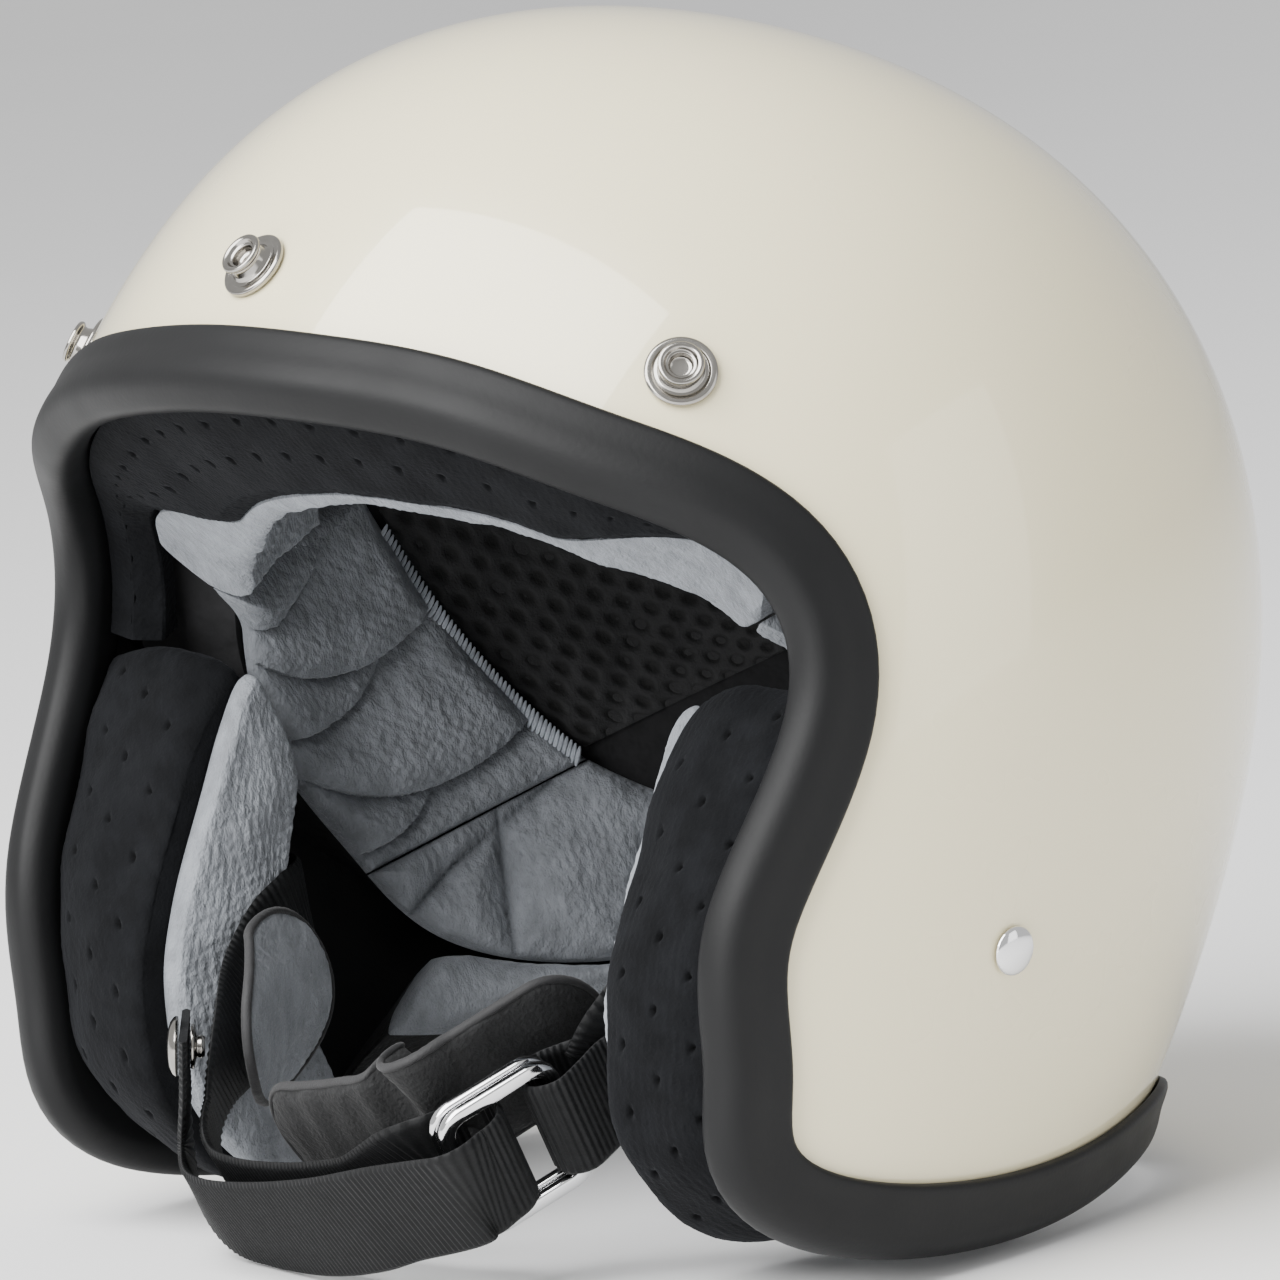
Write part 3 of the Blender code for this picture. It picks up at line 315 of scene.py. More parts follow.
def slab_mesh(front, back):
    """Verts and faces of the solid between two matching grids."""
    rows, cols = front.shape[:2]
    verts = np.vstack([front.reshape(-1, 3), back.reshape(-1, 3)])
    n = rows * cols
    faces = quads(rows, cols).tolist() + quads(rows, cols, start=n)[:, ::-1].tolist()
    border = list(range(cols)) + [r * cols + cols - 1 for r in range(1, rows)]
    border += [(rows - 1) * cols + c for c in range(cols - 2, -1, -1)]
    border += [r * cols for r in range(rows - 2, 0, -1)]
    faces += [[a, n + a, n + b, b] for a, b in zip(border, border[1:] + border[:1])]
    return verts, faces


def smooth_path(points, count, close=False):
    """Catmull-Rom through points, resampled evenly along its length."""
    p = np.asarray(points, float)
    if close:
        ends = np.vstack([p[-1:], p, p[:2]])
    else:
        ends = np.vstack([2 * p[:1] - p[1:2], p, 2 * p[-1:] - p[-2:-1]])
    t = np.arange(24)[:, None] / 24
    runs = [0.5 * (2 * b + (c - a) * t + (2 * a - 5 * b + 4 * c - d) * t ** 2
                   + (3 * b - a - 3 * c + d) * t ** 3)
            for a, b, c, d in zip(ends, ends[1:], ends[2:], ends[3:])]
    line = np.vstack(runs + [p[:1] if close else p[-1:]])
    step = np.concatenate([[0.0], np.cumsum(np.linalg.norm(np.diff(line[:, :3], axis=0), axis=1))])
    at = np.linspace(0.0, step[-1], count, endpoint=not close)
    return np.stack([np.interp(at, step, line[:, k]) for k in range(line.shape[1])], -1)


def wobble(points, size, amount, waves=9):
    """Smooth seeded unevenness of the order of amount, with features of the given size."""
    k = unit(RNG.normal(size=(waves, 3))) * (2 * math.pi / size) * RNG.uniform(0.6, 1.4, (waves, 1))
    phase = RNG.uniform(0, 2 * math.pi, waves)
    flat = points.reshape(-1, 3)
    total = sum(np.sin(flat @ k[i] + phase[i]) for i in range(waves))
    return (total / math.sqrt(waves) * amount).reshape(points.shape[:-1])


def grid_normals(points, away_from):
    n = np.cross(np.gradient(points, axis=1), np.gradient(points, axis=0))
    n = n / np.maximum(np.linalg.norm(n, axis=-1, keepdims=True), 1e-12)
    flip = np.sign(np.sum(n * (points - away_from)))
    return n * flip


def pits(u, v, spots, size, deep, stretch=(1.0, 1.0)):
    """Depth of round pits at spots, and how much of a hole each point is, which marks where shade is painted into
    the holes.
    """
    near = np.full(u.shape, 9.0)
    for a, b in spots:
        near = np.minimum(near, np.hypot((u - a) / stretch[0], (v - b) / stretch[1]))
    inside = 1 / (1 + np.exp((near - size) / (size * 0.16)))
    return inside * deep, inside


def lengths(points, axis):
    """Running length along one axis of a grid, taken at its middle line."""
    middle = points[points.shape[0] // 2] if axis == 1 else points[:, points.shape[1] // 2]
    return np.concatenate([[0.0], np.cumsum(np.linalg.norm(np.diff(middle, axis=0), axis=1))])


# ---------------------------------------------------------------- shell, trim and foam
def bowl(start, depth, rows, power=1.0):
    """Rings from a starting ring of directions to the pole opposite the opening."""
    angle = np.arccos(np.clip(start @ -AXIS, -1, 1))
    rings = []
    for share in (np.arange(rows) / rows) ** power:
        d = unit(np.sin((1 - share) * angle)[:, None] * start + np.sin(share * angle)[:, None] * -AXIS)
        outer = d * radius(d)[:, None]
        rings.append(outer - surface_normal(outer) * depth)
    top = (-AXIS * radius(-AXIS))[None]
    return rings, (top - surface_normal(top) * depth)[0]


def build_shell():
    outer, tip = bowl(unit(RIM), 0.0, 110)
    inner, tip_in = bowl(unit(RIM), WALL, 30)
    verts, faces = rings_mesh([to_world(r) for r in outer[::-1] + inner], tips=to_world([tip, tip_in]))
    # The shell's inner faces take the black plastic: partly the inside's own black, partly painted shade of the
    # dark interior.
    side = np.zeros(len(faces), int)
    side[(len(outer) + 1) * len(RIM):] = 1
    side[-2 * len(RIM):-len(RIM)] = 0
    piece("Shell", verts, faces, IVORY, "helmet", ("shell",), parts=(PLASTIC, side))
    start = unit(on_shell(TURNS[::2], ring_curve(FOAM_ANGLES, TURNS[::2])))
    outer, tip = bowl(start, FOAM_DEPTH, 24)
    inner, tip_in = bowl(start, FOAM_DEPTH + FOAM_WALL, 40)
    for ring in inner[1:]:
        ring += surface_normal(ring) * wobble(ring, 0.004, 0.00012)[:, None]
    verts, faces = rings_mesh([to_world(r) for r in outer[::-1] + inner], tips=to_world([tip, tip_in]))
    piece("Foam_liner", verts, faces, EPS, "helmet", ("eps_liner",))


def build_trim():
    """Moulded rubber channel: a flat flange over the shell and a fat rolled bead over the rim."""
    inner, lip = -(WALL + GAP), -(WALL + GAP) - 0.0033
    knots = [(FLANGE, GAP, 1), (FLANGE, SKIN - 0.0008, 0), (FLANGE - 0.0008, SKIN - 0.0001, 0),
             (FLANGE - 0.0022, SKIN + 0.0001, 0), (0.0045, SKIN + 0.0003, 0), (0.001, SKIN + 0.0009, 0),
             (-0.0018, SKIN + 0.0008, 0), (-0.0045, 0.0019, 0), (-BEAD, -0.0012, 0),
              (-BEAD - 0.0002, -0.0034, 0),
             (-BEAD * 0.86, -0.0058, 0), (-0.0028, lip + 0.0003, 0), (0.0005, lip, 0), (0.004, lip, 0),
             (0.0066, lip + 0.0005, 0), (0.0074, lip + 0.0014, 0), (0.0074, inner, 1)]
    outline = smooth_path([k[:2] for k in knots], 60)
    outline = np.vstack([outline, [(-GAP, inner), (-GAP, GAP)]])
    loops = [to_world(rim_offset(onto, out)) for onto, out in outline]
    verts, faces = rings_mesh(loops, wrap=True)
    piece("Edge_trim", verts, faces, RUBBER, "helmet", ("edge_trim",), sharp=50)


# ---------------------------------------------------------------- quilted lining
def lobes(turn, tilt, spots, height):
    """Overlapping scallops: each spot is (turn, tilt, radius) and lies over those after it."""
    level = np.full(turn.shape, height * 0.55)
    shade = np.ones(turn.shape)
    for a, b, size in reversed(spots):
        away = np.hypot((turn - a) * 0.00125, (tilt - b) * 0.0013)
        inside = size - away
        puff = height * (0.62 + 0.5 * (1 - np.exp(-np.maximum(inside, 0) / 0.0032))
                         - 0.22 * (1 - np.exp(-np.maximum(inside, 0) / 0.02)))
        tuck = 1 - 0.75 * np.exp(-np.maximum(-inside, 0) / 0.0042)
        level = np.where(inside > 0, puff, level * tuck)
        shade = np.where(inside > 0, 1.0, shade)
    return level


def seams(points, lines, height, width):
    """Quilting: full height away from the stitched lines and pulled in along them, with a mask for painted shade
    along those lines.
    """
    near = np.full(points.shape[:-1], 1.0)
    for line in lines:
        for a, b in zip(line, line[1:]):
            ab = b - a
            t = np.clip(((points - a) @ ab) / (ab @ ab), 0, 1)
            near = np.minimum(near, np.linalg.norm(points - a - t[..., None] * ab, axis=-1))
    return height * (1 - np.exp(-near / width)), np.exp(-near / 0.0007)


def edge_roll(rows, cols, step_r, step_c, roll):
    """1 in the middle of a grid, falling to 0 round its edges over the width roll."""
    r = np.minimum(np.arange(rows), np.arange(rows)[::-1])[:, None] * step_r
    c = np.minimum(np.arange(cols), np.arange(cols)[::-1])[None, :] * step_c
    near = np.minimum(np.clip(r / roll, 0, 1), np.clip(c / roll, 0, 1))
    return np.sqrt(np.clip(1 - (1 - near) ** 2, 0, 1))


def pad_edge(turn):
    return ring_curve(PAD_ANGLES, turn)


def side_top(turn):
    return 108.0 + (np.abs(turn) - 64.0) * 0.42


BAND_DEEP_FRONT, BAND_DEEP_SIDE = 0.042, 0.020
BAND_TURNS, ROLL_TURNS = (36.0, 58.0), (40.0, 66.0)
BAND_REACH, EDGE_STEP, KNEE_RUN, BAND_GAP = 72.0, 2.2, 2.9, 0.0010
BROW_ROLL, ROLL_SPREAD, LEAST_WALL = 0.0065, 9.0, 0.0012


def ease(value, low, high):
    """0 below low, 1 above high and a smooth step between."""
    share = np.clip((np.asarray(value, float) - low) / (high - low), 0.0, 1.0)
    return share * share * (3 - 2 * share)


def band_deep(turn):
    """Depth of the brow band's inner edge, less at the temples than over the brow."""
    return BAND_DEEP_FRONT + (BAND_DEEP_SIDE - BAND_DEEP_FRONT) * ease(np.abs(turn), *BAND_TURNS)


def lining_edge(turn):
    """Tilt of the lining's edge: at the rim over the brow, on the foam's edge at the sides."""
    at_rim = ring_curve(RIM_ANGLES, turn) + EDGE_STEP
    return at_rim + (pad_edge(turn) - at_rim) * ease(np.abs(turn), 62.0, BAND_REACH)


def lining_base(turn, tilt):
    """Depth of the lining's outer face: on the brow band near the rim, then on the foam."""
    edge = lining_edge(turn)
    knee = np.maximum(ring_curve(FOAM_ANGLES, turn) - 0.4, edge + 0.6)
    rest = band_deep(turn) + BAND_GAP
    early = np.clip((tilt - edge) / (knee - edge) * 3 - 1, 0.0, 1.0)
    late = np.clip((tilt - knee) / KNEE_RUN, 0.0, 1.0)
    share = np.where(rest < PAD_DEPTH, early, late)
    share = np.maximum(share, ease(np.abs(turn), 60.0, 64.0))
    return rest + (PAD_DEPTH - rest) * share


def lining_face(turn, tilt):
    """Depth of the lining's inner face, thickest in a roll behind the brow band."""
    beyond = tilt - ring_curve(RIM_ANGLES, turn) - EDGE_STEP
    roll = np.exp(-(beyond / ROLL_SPREAD) ** 2) * (1 - ease(np.abs(turn), *ROLL_TURNS))
    return PAD_DEPTH + PAD_THICKNESS + BROW_ROLL * roll


def lining(name, node, turns, low, high, rows, height, material, fuzz=0.00016, spots=None,
           lines=None, skin=PAD_THICKNESS, holes=None, shaped=False):
    share = np.linspace(0.0, 1.0, rows)[:, None]
    tilt = low(turns) * (1 - share) + high(turns) * share
    turn = np.broadcast_to(turns, tilt.shape)
    base = on_shell(turn, tilt, PAD_DEPTH)
    step_c = lengths(base, 1)[-1] / (len(turns) - 1)
    step_r = lengths(base, 0)[-1] / (rows - 1)
    rise = np.full(tilt.shape, height)
    painted_shade = None
    if spots:
        rise = lobes(np.abs(turn), tilt, spots, height)
    if lines:
        path = [on_shell(*np.array(line, float).T, PAD_DEPTH) for line in lines]
        rise, painted_shade = seams(base, path, height, 0.006)
    rise = skin * 0.25 + rise * edge_roll(rows, len(turns), step_r, step_c, 0.006)
    rise = rise + wobble(base, 0.014, 0.00035) + wobble(base, 0.0022, fuzz, 14)
    rise = rise + wobble(base, 0.001, fuzz * 0.5, 14)
    if holes is not None:
        sink, painted_shade = holes(lengths(base, 1)[None, :] + 0 * tilt, lengths(base, 0)[:, None] + 0 * tilt)
        rise = rise - sink
    floor = lining_base(turn, tilt) if shaped else np.full(tilt.shape, PAD_DEPTH)
    if shaped:
        rise = rise + lining_face(turn, tilt) - skin - PAD_DEPTH
        rise = np.maximum(rise, floor - PAD_DEPTH + LEAST_WALL)
    front = on_shell(turn, tilt, PAD_DEPTH + rise)
    back = on_shell(turn, tilt, floor)
    verts, faces = slab_mesh(to_world(front), to_world(back))
    # Painted shade: the seam or hole mask goes onto the front face; the back face gets none.
    mark = None if painted_shade is None else np.concatenate([painted_shade.ravel(), np.zeros(painted_shade.size)])
    obj = piece(name, verts, faces, material, "helmet", (node,), painted_shade=mark, sharp=70)
    return front


SIDE_LOBES = [(47.4, 100, 0.022), (51.5, 88, 0.0245), (57, 102, 0.0315), (63, 92, 0.0305), (70, 109, 0.040),
              (88, 95, 0.0225)]


def build_lining():
    for label, sign in (("left", 1), ("right", -1)):
        turns = np.linspace(63.6, 108.5, 190) * sign
        lining("Side_liner_" + label, "side_liner_" + label, turns, lining_edge, side_top, 170, 0.0085,
               BRUSHED, spots=SIDE_LOBES, shaped=True)
    turns = np.linspace(108.8, 251.2, 420)
    half = [[(109, 121), (113, 104), (117, 92)], [(109, 113), (129, 104), (140, 100)],
            [(129, 104), (150, 128), (166, 140)], [(129, 104), (136, 116), (127, 128)]]
    other = [[(360 - a, b) for a, b in line] for line in half]
    middle = [[(158, 110), (180, 128), (202, 110)]]
    lining("Rear_liner", "rear_liner", turns, pad_edge,
           lambda t: side_top(108.0) + (72.0 - np.abs(180.0 - t)) * 0.55, 130, 0.0062,
           BRUSHED, lines=half + other + middle)
    turns = np.linspace(-63.2, 63.2, 420)
    lines = [[(a, 45), (a * 0.95, 115)] for a in (-56, -35.5, 0, 35.5, 56)]
    lining("Forehead_liner", "forehead_liner", turns, lining_edge, lambda t: 100.0 + 0 * t, 150, 0.0085,
           BRUSHED, lines=lines, shaped=True)
    turns = np.linspace(-106.8, 106.8, 460)

    def ovals(u, v):
        spots_u, spots_v = 0.0052, 0.0062
        row = np.round(v / spots_v)
        shift = np.where(row % 2 == 0, 0.0, spots_u / 2)
        a = (u - shift) / spots_u
        near = np.hypot((a - np.round(a)) * spots_u / 1.0, (v - row * spots_v) / 1.7)
        # Painted shade in the mesh holes: the second value marks where the material goes near-black.
        inside = 1 / (1 + np.exp((near - 0.00125) / 0.00018))
        return inside * 0.0007, inside

    lining("Crown_mesh", "crown_mesh", turns, lambda t: np.maximum(102.0, side_top(t) + 1.2),
           lambda t: 172.0 + 0 * t, 300, 0.0006, MESH, fuzz=0.00003, skin=0.0012,
           holes=ovals)


def stitches(name, path, normals, long, thick, slant, material, body="helmet"):
    """Separate stitches lying across a path of points, each a fat bent thread."""
    verts, faces = [], []
    along = unit(np.gradient(path, axis=0))
    across = unit(np.cross(normals, along))
    angles = np.arange(6) / 6 * 2 * math.pi
    for p, n, a, c in zip(path, normals, along, across):
        line = unit(c + a * slant)
        side = np.cross(line, n)
        start = len(verts)
        for k, size in zip(np.linspace(-1, 1, 7), (0.35, 0.8, 1, 1, 1, 0.8, 0.35)):
            lift = thick * (0.9 - 1.1 * k * k)
            middle = p + line * long / 2 * k + n * lift
            verts += [middle + (side * math.cos(g) + n * math.sin(g)) * thick * size for g in angles]
        faces += (quads(7, 6, False, True) + start).tolist()
        faces += [list(range(start, start + 6)), list(range(start + 36, start + 42))]
    return piece(name, verts, faces, material, body)


def build_edge_stitching():
    for label, sign in (("left", 1), ("right", -1)):
        turn = np.linspace(68.0, 107.4, 52)
        rise = PAD_DEPTH + PAD_THICKNESS * 0.62
        path = to_world(on_shell(turn * sign, side_top(turn) - 0.3, rise))
        inner = to_world(on_shell(turn * sign, side_top(turn) - 0.3, rise + 0.01))
        stitches("Edge_stitching_" + label, path, unit(inner - path), 0.0042, 0.00052, 0.45 * sign, THREAD)


def build_brow_band():
    """Suede band facing the opening, with two staggered rows of ventilation holes."""
    turns = np.linspace(-BAND_REACH, BAND_REACH, 900)
    rim = ring_curve(RIM_ANGLES, turns)
    deep, shallow = band_deep(turns), WALL + GAP + 0.0041
    near, far = rim + 0.4, ring_curve(FOAM_ANGLES, turns) - 0.6
    knots = [(0.35, 0.0, shallow), (0.1, 0.0, shallow + 0.005), (0.1, 0.0, (shallow + deep) / 2),
             (0.5, 0.0, deep - 0.004), (1.6, 0.0, deep), (0.0, 0.45, deep + 0.0004),
             (0.0, 1.0, deep + 0.0002)]
    face = []
    for k, share, depth in knots:
        face.append(np.stack([near + k + (far - near) * share, depth + 0 * turns], -1))
    face = np.array(face)
    grid = smooth_path(np.concatenate([face[:, 450] / (100, 1), np.arange(7)[:, None]], 1), 84)[:, 2]
    low = np.clip(np.floor(grid).astype(int), 0, 5)
    f = (grid - low)[:, None, None]
    soft = f * f * (3 - 2 * f) * 0.25 + f * 0.75
    mixed = face[low] * (1 - soft) + face[low + 1] * soft
    points = on_shell(turns[None], mixed[..., 0], mixed[..., 1])
    normal = grid_normals(points, np.zeros(3))
    u = np.broadcast_to(lengths(points, 1)[None], points.shape[:2])
    v = np.broadcast_to(lengths(points, 0)[:, None], points.shape[:2])
    spots = [(a, b) for row, b in enumerate((0.0085, 0.0190))
             for a in np.arange(0.004 + 0.0045 * row, u[0, -1], 0.009)]
    # The perforations are shallow pits; their mask paints shade into them as near-black.
    sink = np.zeros(u.shape)
    painted_shade = np.zeros(u.shape)
    for a, b in spots:
        c0 = np.searchsorted(u[0], a - 0.003)
        c1 = np.searchsorted(u[0], a + 0.003)
        s, h = pits(u[:, c0:c1], v[:, c0:c1], [(a, b)], 0.00062, 0.0014)
        sink[:, c0:c1] = np.maximum(sink[:, c0:c1], s)
        painted_shade[:, c0:c1] = np.maximum(painted_shade[:, c0:c1], h)
    toward = unit(AXIS - unit(points) * 0.5)
    normal = normal * np.sign(np.sum(normal * toward, -1, keepdims=True))
    rise = wobble(points, 0.02, 0.0003) + wobble(points, 0.0016, 0.00006, 12) - sink
    front = points + normal * rise[..., None]
    back_far = on_shell(turns, far, np.minimum(shallow + 0.012, deep - 0.005))
    back_near = on_shell(turns, near + 2.2, shallow + 0.004)
    loops = np.concatenate([front, back_far[None], back_near[None]], 0)
    verts, faces = rings_mesh(to_world(loops).transpose(1, 0, 2))
    mark = np.concatenate([painted_shade, np.zeros((2, len(turns)))], 0).T
    piece("Brow_band", verts, faces, SUEDE, "helmet", ("brow_band",), painted_shade=mark,
                    sharp=60)


def build_neck_roll():
    turns = np.linspace(121.6, 238.4, 400)
    wedge = 97.0 - (np.minimum(turns, 360 - turns) - 121.0) * 2.1
    low, high = np.maximum(ring_curve(RIM_ANGLES, turns) + 1.2, wedge), pad_edge(turns) - 1.0
    shallow, deep = WALL + GAP + 0.0045, PAD_DEPTH + PAD_THICKNESS * 0.5
    mid = (low + high) / 2
    bulge = np.minimum(0.4, (high - low) * 0.1)
    section = [(low, shallow), (low - bulge, (shallow + deep) / 2), (low + 2 * bulge, deep - 0.004),
               (mid, deep + 0.001), (high, deep - 0.003), (high + 0.2, (shallow + deep) / 2), (high, shallow), (mid, shallow)]
    loops = np.stack([on_shell(turns, tilt, depth) for tilt, depth in section], 1)
    rings = np.array([smooth_path(loop, 64, close=True) for loop in loops])
    middle = rings.mean(axis=1, keepdims=True)
    pull = 1 - 0.06 * np.exp(-np.abs(np.sin((turns - 121.6) / 116.8 * math.pi * 5)) / 0.08)
    from_end = np.clip(np.minimum(turns - 121.2, 238.8 - turns) / 4, 0, 1)
    ends = np.sqrt(np.clip(1 - (1 - from_end) ** 2, 0.05, 1))
    rings = middle + (rings - middle) * (pull * ends)[:, None, None]
    swell = wobble(rings, 0.0022, 0.0001, 14) + wobble(rings, 0.02, 0.0004)
    rings += unit(rings - middle) * swell[..., None]
    verts, faces = rings_mesh(to_world(rings))
    side = np.zeros(len(faces), int)
    side[:(len(turns) - 1) * 64].reshape(-1, 64)[:, :14] = 1
    side[:(len(turns) - 1) * 64].reshape(-1, 64)[:, 46:] = 1
    piece("Neck_roll", verts, faces, BRUSHED, "helmet", ("neck_roll",), sharp=70,
                    parts=(KNIT, side))


# ---------------------------------------------------------------- cheek pads
# Outlines seen from the side, as (y, z) about the centre, from the top round the front.
PAD_INNER = (
    (-0.030, 0.0215), (-0.041, 0.011), (-0.050, -0.005), (-0.058, -0.022), (-0.062, -0.038),
    (-0.060, -0.058), (-0.050, -0.074), (-0.036, -0.082), (-0.022, -0.080), (-0.017, -0.070),
    (-0.023, -0.057), (-0.033, -0.046), (-0.038, -0.037), (-0.037, -0.028), (-0.031, -0.019),
    (-0.024, -0.010), (-0.021, 0.002), (-0.024, 0.013),
)
PAD_OUTER = (
    (-0.030, 0.0235), (-0.038, 0.0145), (-0.046, 0.000), (-0.054, -0.014), (-0.057, -0.030),
    (-0.056, -0.052), (-0.044, -0.066), (-0.030, -0.072), (-0.014, -0.072), (-0.010, -0.064),
    (-0.016, -0.055), (-0.025, -0.047), (-0.031, -0.039), (-0.032, -0.029), (-0.029, -0.019),
    (-0.024, -0.009), (-0.021, 0.002), (-0.023, 0.013),
)


def fine(outline, each=22):
    """The same number of points between each pair of knots, so outlines match."""
    p = np.asarray(outline, float)
    ends = np.vstack([p[-1:], p, p[:2]])
    t = np.arange(each)[:, None] / each
    return np.vstack([0.5 * (2 * b + (c - a) * t + (2 * a - 5 * b + 4 * c - d) * t ** 2
                             + (3 * b - a - 3 * c + d) * t ** 3)
                      for a, b, c, d in zip(ends, ends[1:], ends[2:], ends[3:])])


def build_cheek(label, sign):
    flip = np.array([sign, 1, 1])
    inner, outer = fine(PAD_INNER), fine(PAD_OUTER)
    seam_x = CHEEK_FACE_X + FLEECE
    deep = WALL + GAP + 0.0033 + 0.0012 + 0.0025
    wall_x = side_x(outer[:, 0], outer[:, 1], 0.0083)
    inset = outer.mean(axis=0) + (outer - outer.mean(axis=0)) * 0.84
    waist = inner * 0.4 + outer * 0.6
    waist = waist.mean(axis=0) + (waist - waist.mean(axis=0)) * 1.03
    rings = []
    shares = np.linspace(0, 1, 76)
    for share in shares:
        flat = (2 * (share - 0.5) * (share - 1)) * outer - (4 * share * (share - 1)) * waist
        flat = flat + (2 * share * (share - 0.5)) * inner
        x = wall_x * (1 - share) + seam_x * share
        middle = flat.mean(axis=0)
        tuck = 1 - 0.045 * math.exp(-(1 - share) / 0.035)
        flat = middle + (flat - middle) * tuck
        rings.append(np.column_stack([x, flat]))
    rings = np.array(rings)
    middle = rings.mean(axis=1, keepdims=True)
    normal = grid_normals(rings, rings.mean(axis=(0, 1)))
    outward = np.sign(np.sum(normal * (rings - middle), -1, keepdims=True))
    normal = normal * outward
    around = np.concatenate([[0.0], np.cumsum(np.linalg.norm(np.diff(rings[38], axis=0), axis=1))])
    across = np.linspace(0, 1, 76)
    u = np.broadcast_to(around[None], rings.shape[:2])
    width = np.linalg.norm(rings[0] - rings[-1], axis=-1)
    v = across[:, None] * width[None]
    # Perforations: shallow pits, with a mask that paints shade into them as near-black.
    painted_shade = np.zeros(u.shape)
    sink = np.zeros(u.shape)
    front = around[22 * 8]
    for column, share in enumerate((0.22, 0.5, 0.78)):
        for a in np.arange(0.006 + 0.0045 * column, front, 0.0135):
            c0, c1 = np.searchsorted(around, a - 0.004), np.searchsorted(around, a + 0.004)
            b = share * width[min((c0 + c1) // 2, len(width) - 1)]
            s, h = pits(u[:, c0:c1], v[:, c0:c1], [(a, b)], 0.00065, 0.0015)
            sink[:, c0:c1] = np.maximum(sink[:, c0:c1], s)
            painted_shade[:, c0:c1] = np.maximum(painted_shade[:, c0:c1], h)
    puff = 0.0022 * np.sin(np.pi * across) ** 0.8
    rise = puff[:, None] + wobble(rings, 0.02, 0.0004) + wobble(rings, 0.0017, 0.00006, 12) - sink
    rings = rings + normal * rise[..., None]
    rear = np.column_stack([side_x(inset[:, 0], inset[:, 1], deep), inset])
    verts, faces = rings_mesh(np.concatenate([rear[None], rings]) * flip + CENTRE)
    painted_shade = np.concatenate([painted_shade[:1] * 0, painted_shade])
    piece("Cheek_pad_" + label, verts, faces, SUEDE, "helmet", ("cheek_pad_" + label,),
                    painted_shade=painted_shade, sharp=60)

    front = ease(-inner[:, 0], 0.022, 0.048)
    inner = inner + np.column_stack([0.0055 * front, 0 * front])
    middle = inner.mean(axis=0)
    out = inner - middle
    rings = []
    for share, x in [(0.6, seam_x - 0.0006), (0.985, seam_x - 0.0006)]:
        rings.append(np.column_stack([np.full(len(inner), x), middle + out * share]))
    for g in np.linspace(0, math.pi / 2, 10)[1:]:
        share = 0.955 + 0.045 * math.cos(g)
        rings.append(np.column_stack([np.full(len(inner), seam_x - 0.0012 - 0.0046 * math.sin(g)),
                                      middle + out * share]))
    for share in np.linspace(0.94, 0.02, 62):
        crown = 0.0030 * (1 - share ** 2)
        rings.append(np.column_stack([np.full(len(inner), seam_x - 0.0058 - crown), middle + out * share]))
    rings = np.array(rings)
    fuzz = wobble(rings, 0.016, 0.0004) + wobble(rings, 0.0022, 0.00014, 14)
    fuzz = fuzz + wobble(rings, 0.001, 0.00008, 14)
    rings[4:, :, 0] += fuzz[4:]
    tips = np.array([[seam_x - 0.0006, *middle], [seam_x - 0.0088, *middle]])
    verts, faces = rings_mesh(rings * flip + CENTRE, tips=tips * flip + CENTRE)
    piece("Cheek_fleece_" + label, verts, faces, BRUSHED, "helmet",
                    ("cheek_fleece_" + label,), sharp=70)


# ---------------------------------------------------------------- fasteners
def bearing(turn, rise):
    turn, rise = math.radians(turn), math.radians(rise)
    return np.array([math.sin(turn) * math.cos(rise), -math.cos(turn) * math.cos(rise), math.sin(rise)])


def seat(turn, rise):
    d = bearing(turn, rise)
    p = d * radius(d)
    return to_world(p), to_world(surface_normal(p[None])[0]) - CENTRE


def turned(name, profile, point, normal, material, nodes, body="helmet", segments=72, sharp=35):
    """A turned piece about normal at point; profile is (radius, height) from axis to axis."""
    turn = np.array(Vector(normal).to_track_quat("Z", "X").to_matrix())
    g = np.arange(segments) / segments * 2 * math.pi
    rings = [np.column_stack([r * np.cos(g), r * np.sin(g), np.full(segments, h)]) @ turn.T + point
             for r, h in profile[1:-1]]
    tips = [np.array([0, 0, profile[i][1]]) @ turn.T + point for i in (0, -1)]
    verts, faces = rings_mesh(rings, tips=tips)
    return piece(name, verts, faces, material, body, nodes, sharp=sharp)


def rounded(profile, corner=0.00018):
    """Break each corner of a turned profile into a small round."""
    out = [profile[0]]
    for a, b, c in zip(profile, profile[1:], profile[2:]):
        a, b, c = np.array(a), np.array(b), np.array(c)
        p = b + (a - b) * min(corner / max(np.linalg.norm(a - b), 1e-9), 0.4)
        q = b + (c - b) * min(corner / max(np.linalg.norm(c - b), 1e-9), 0.4)
        out += [tuple((1 - t) ** 2 * p + 2 * t * (1 - t) * b + t * t * q) for t in (0, 0.33, 0.67, 1)]
    return out + [profile[-1]]


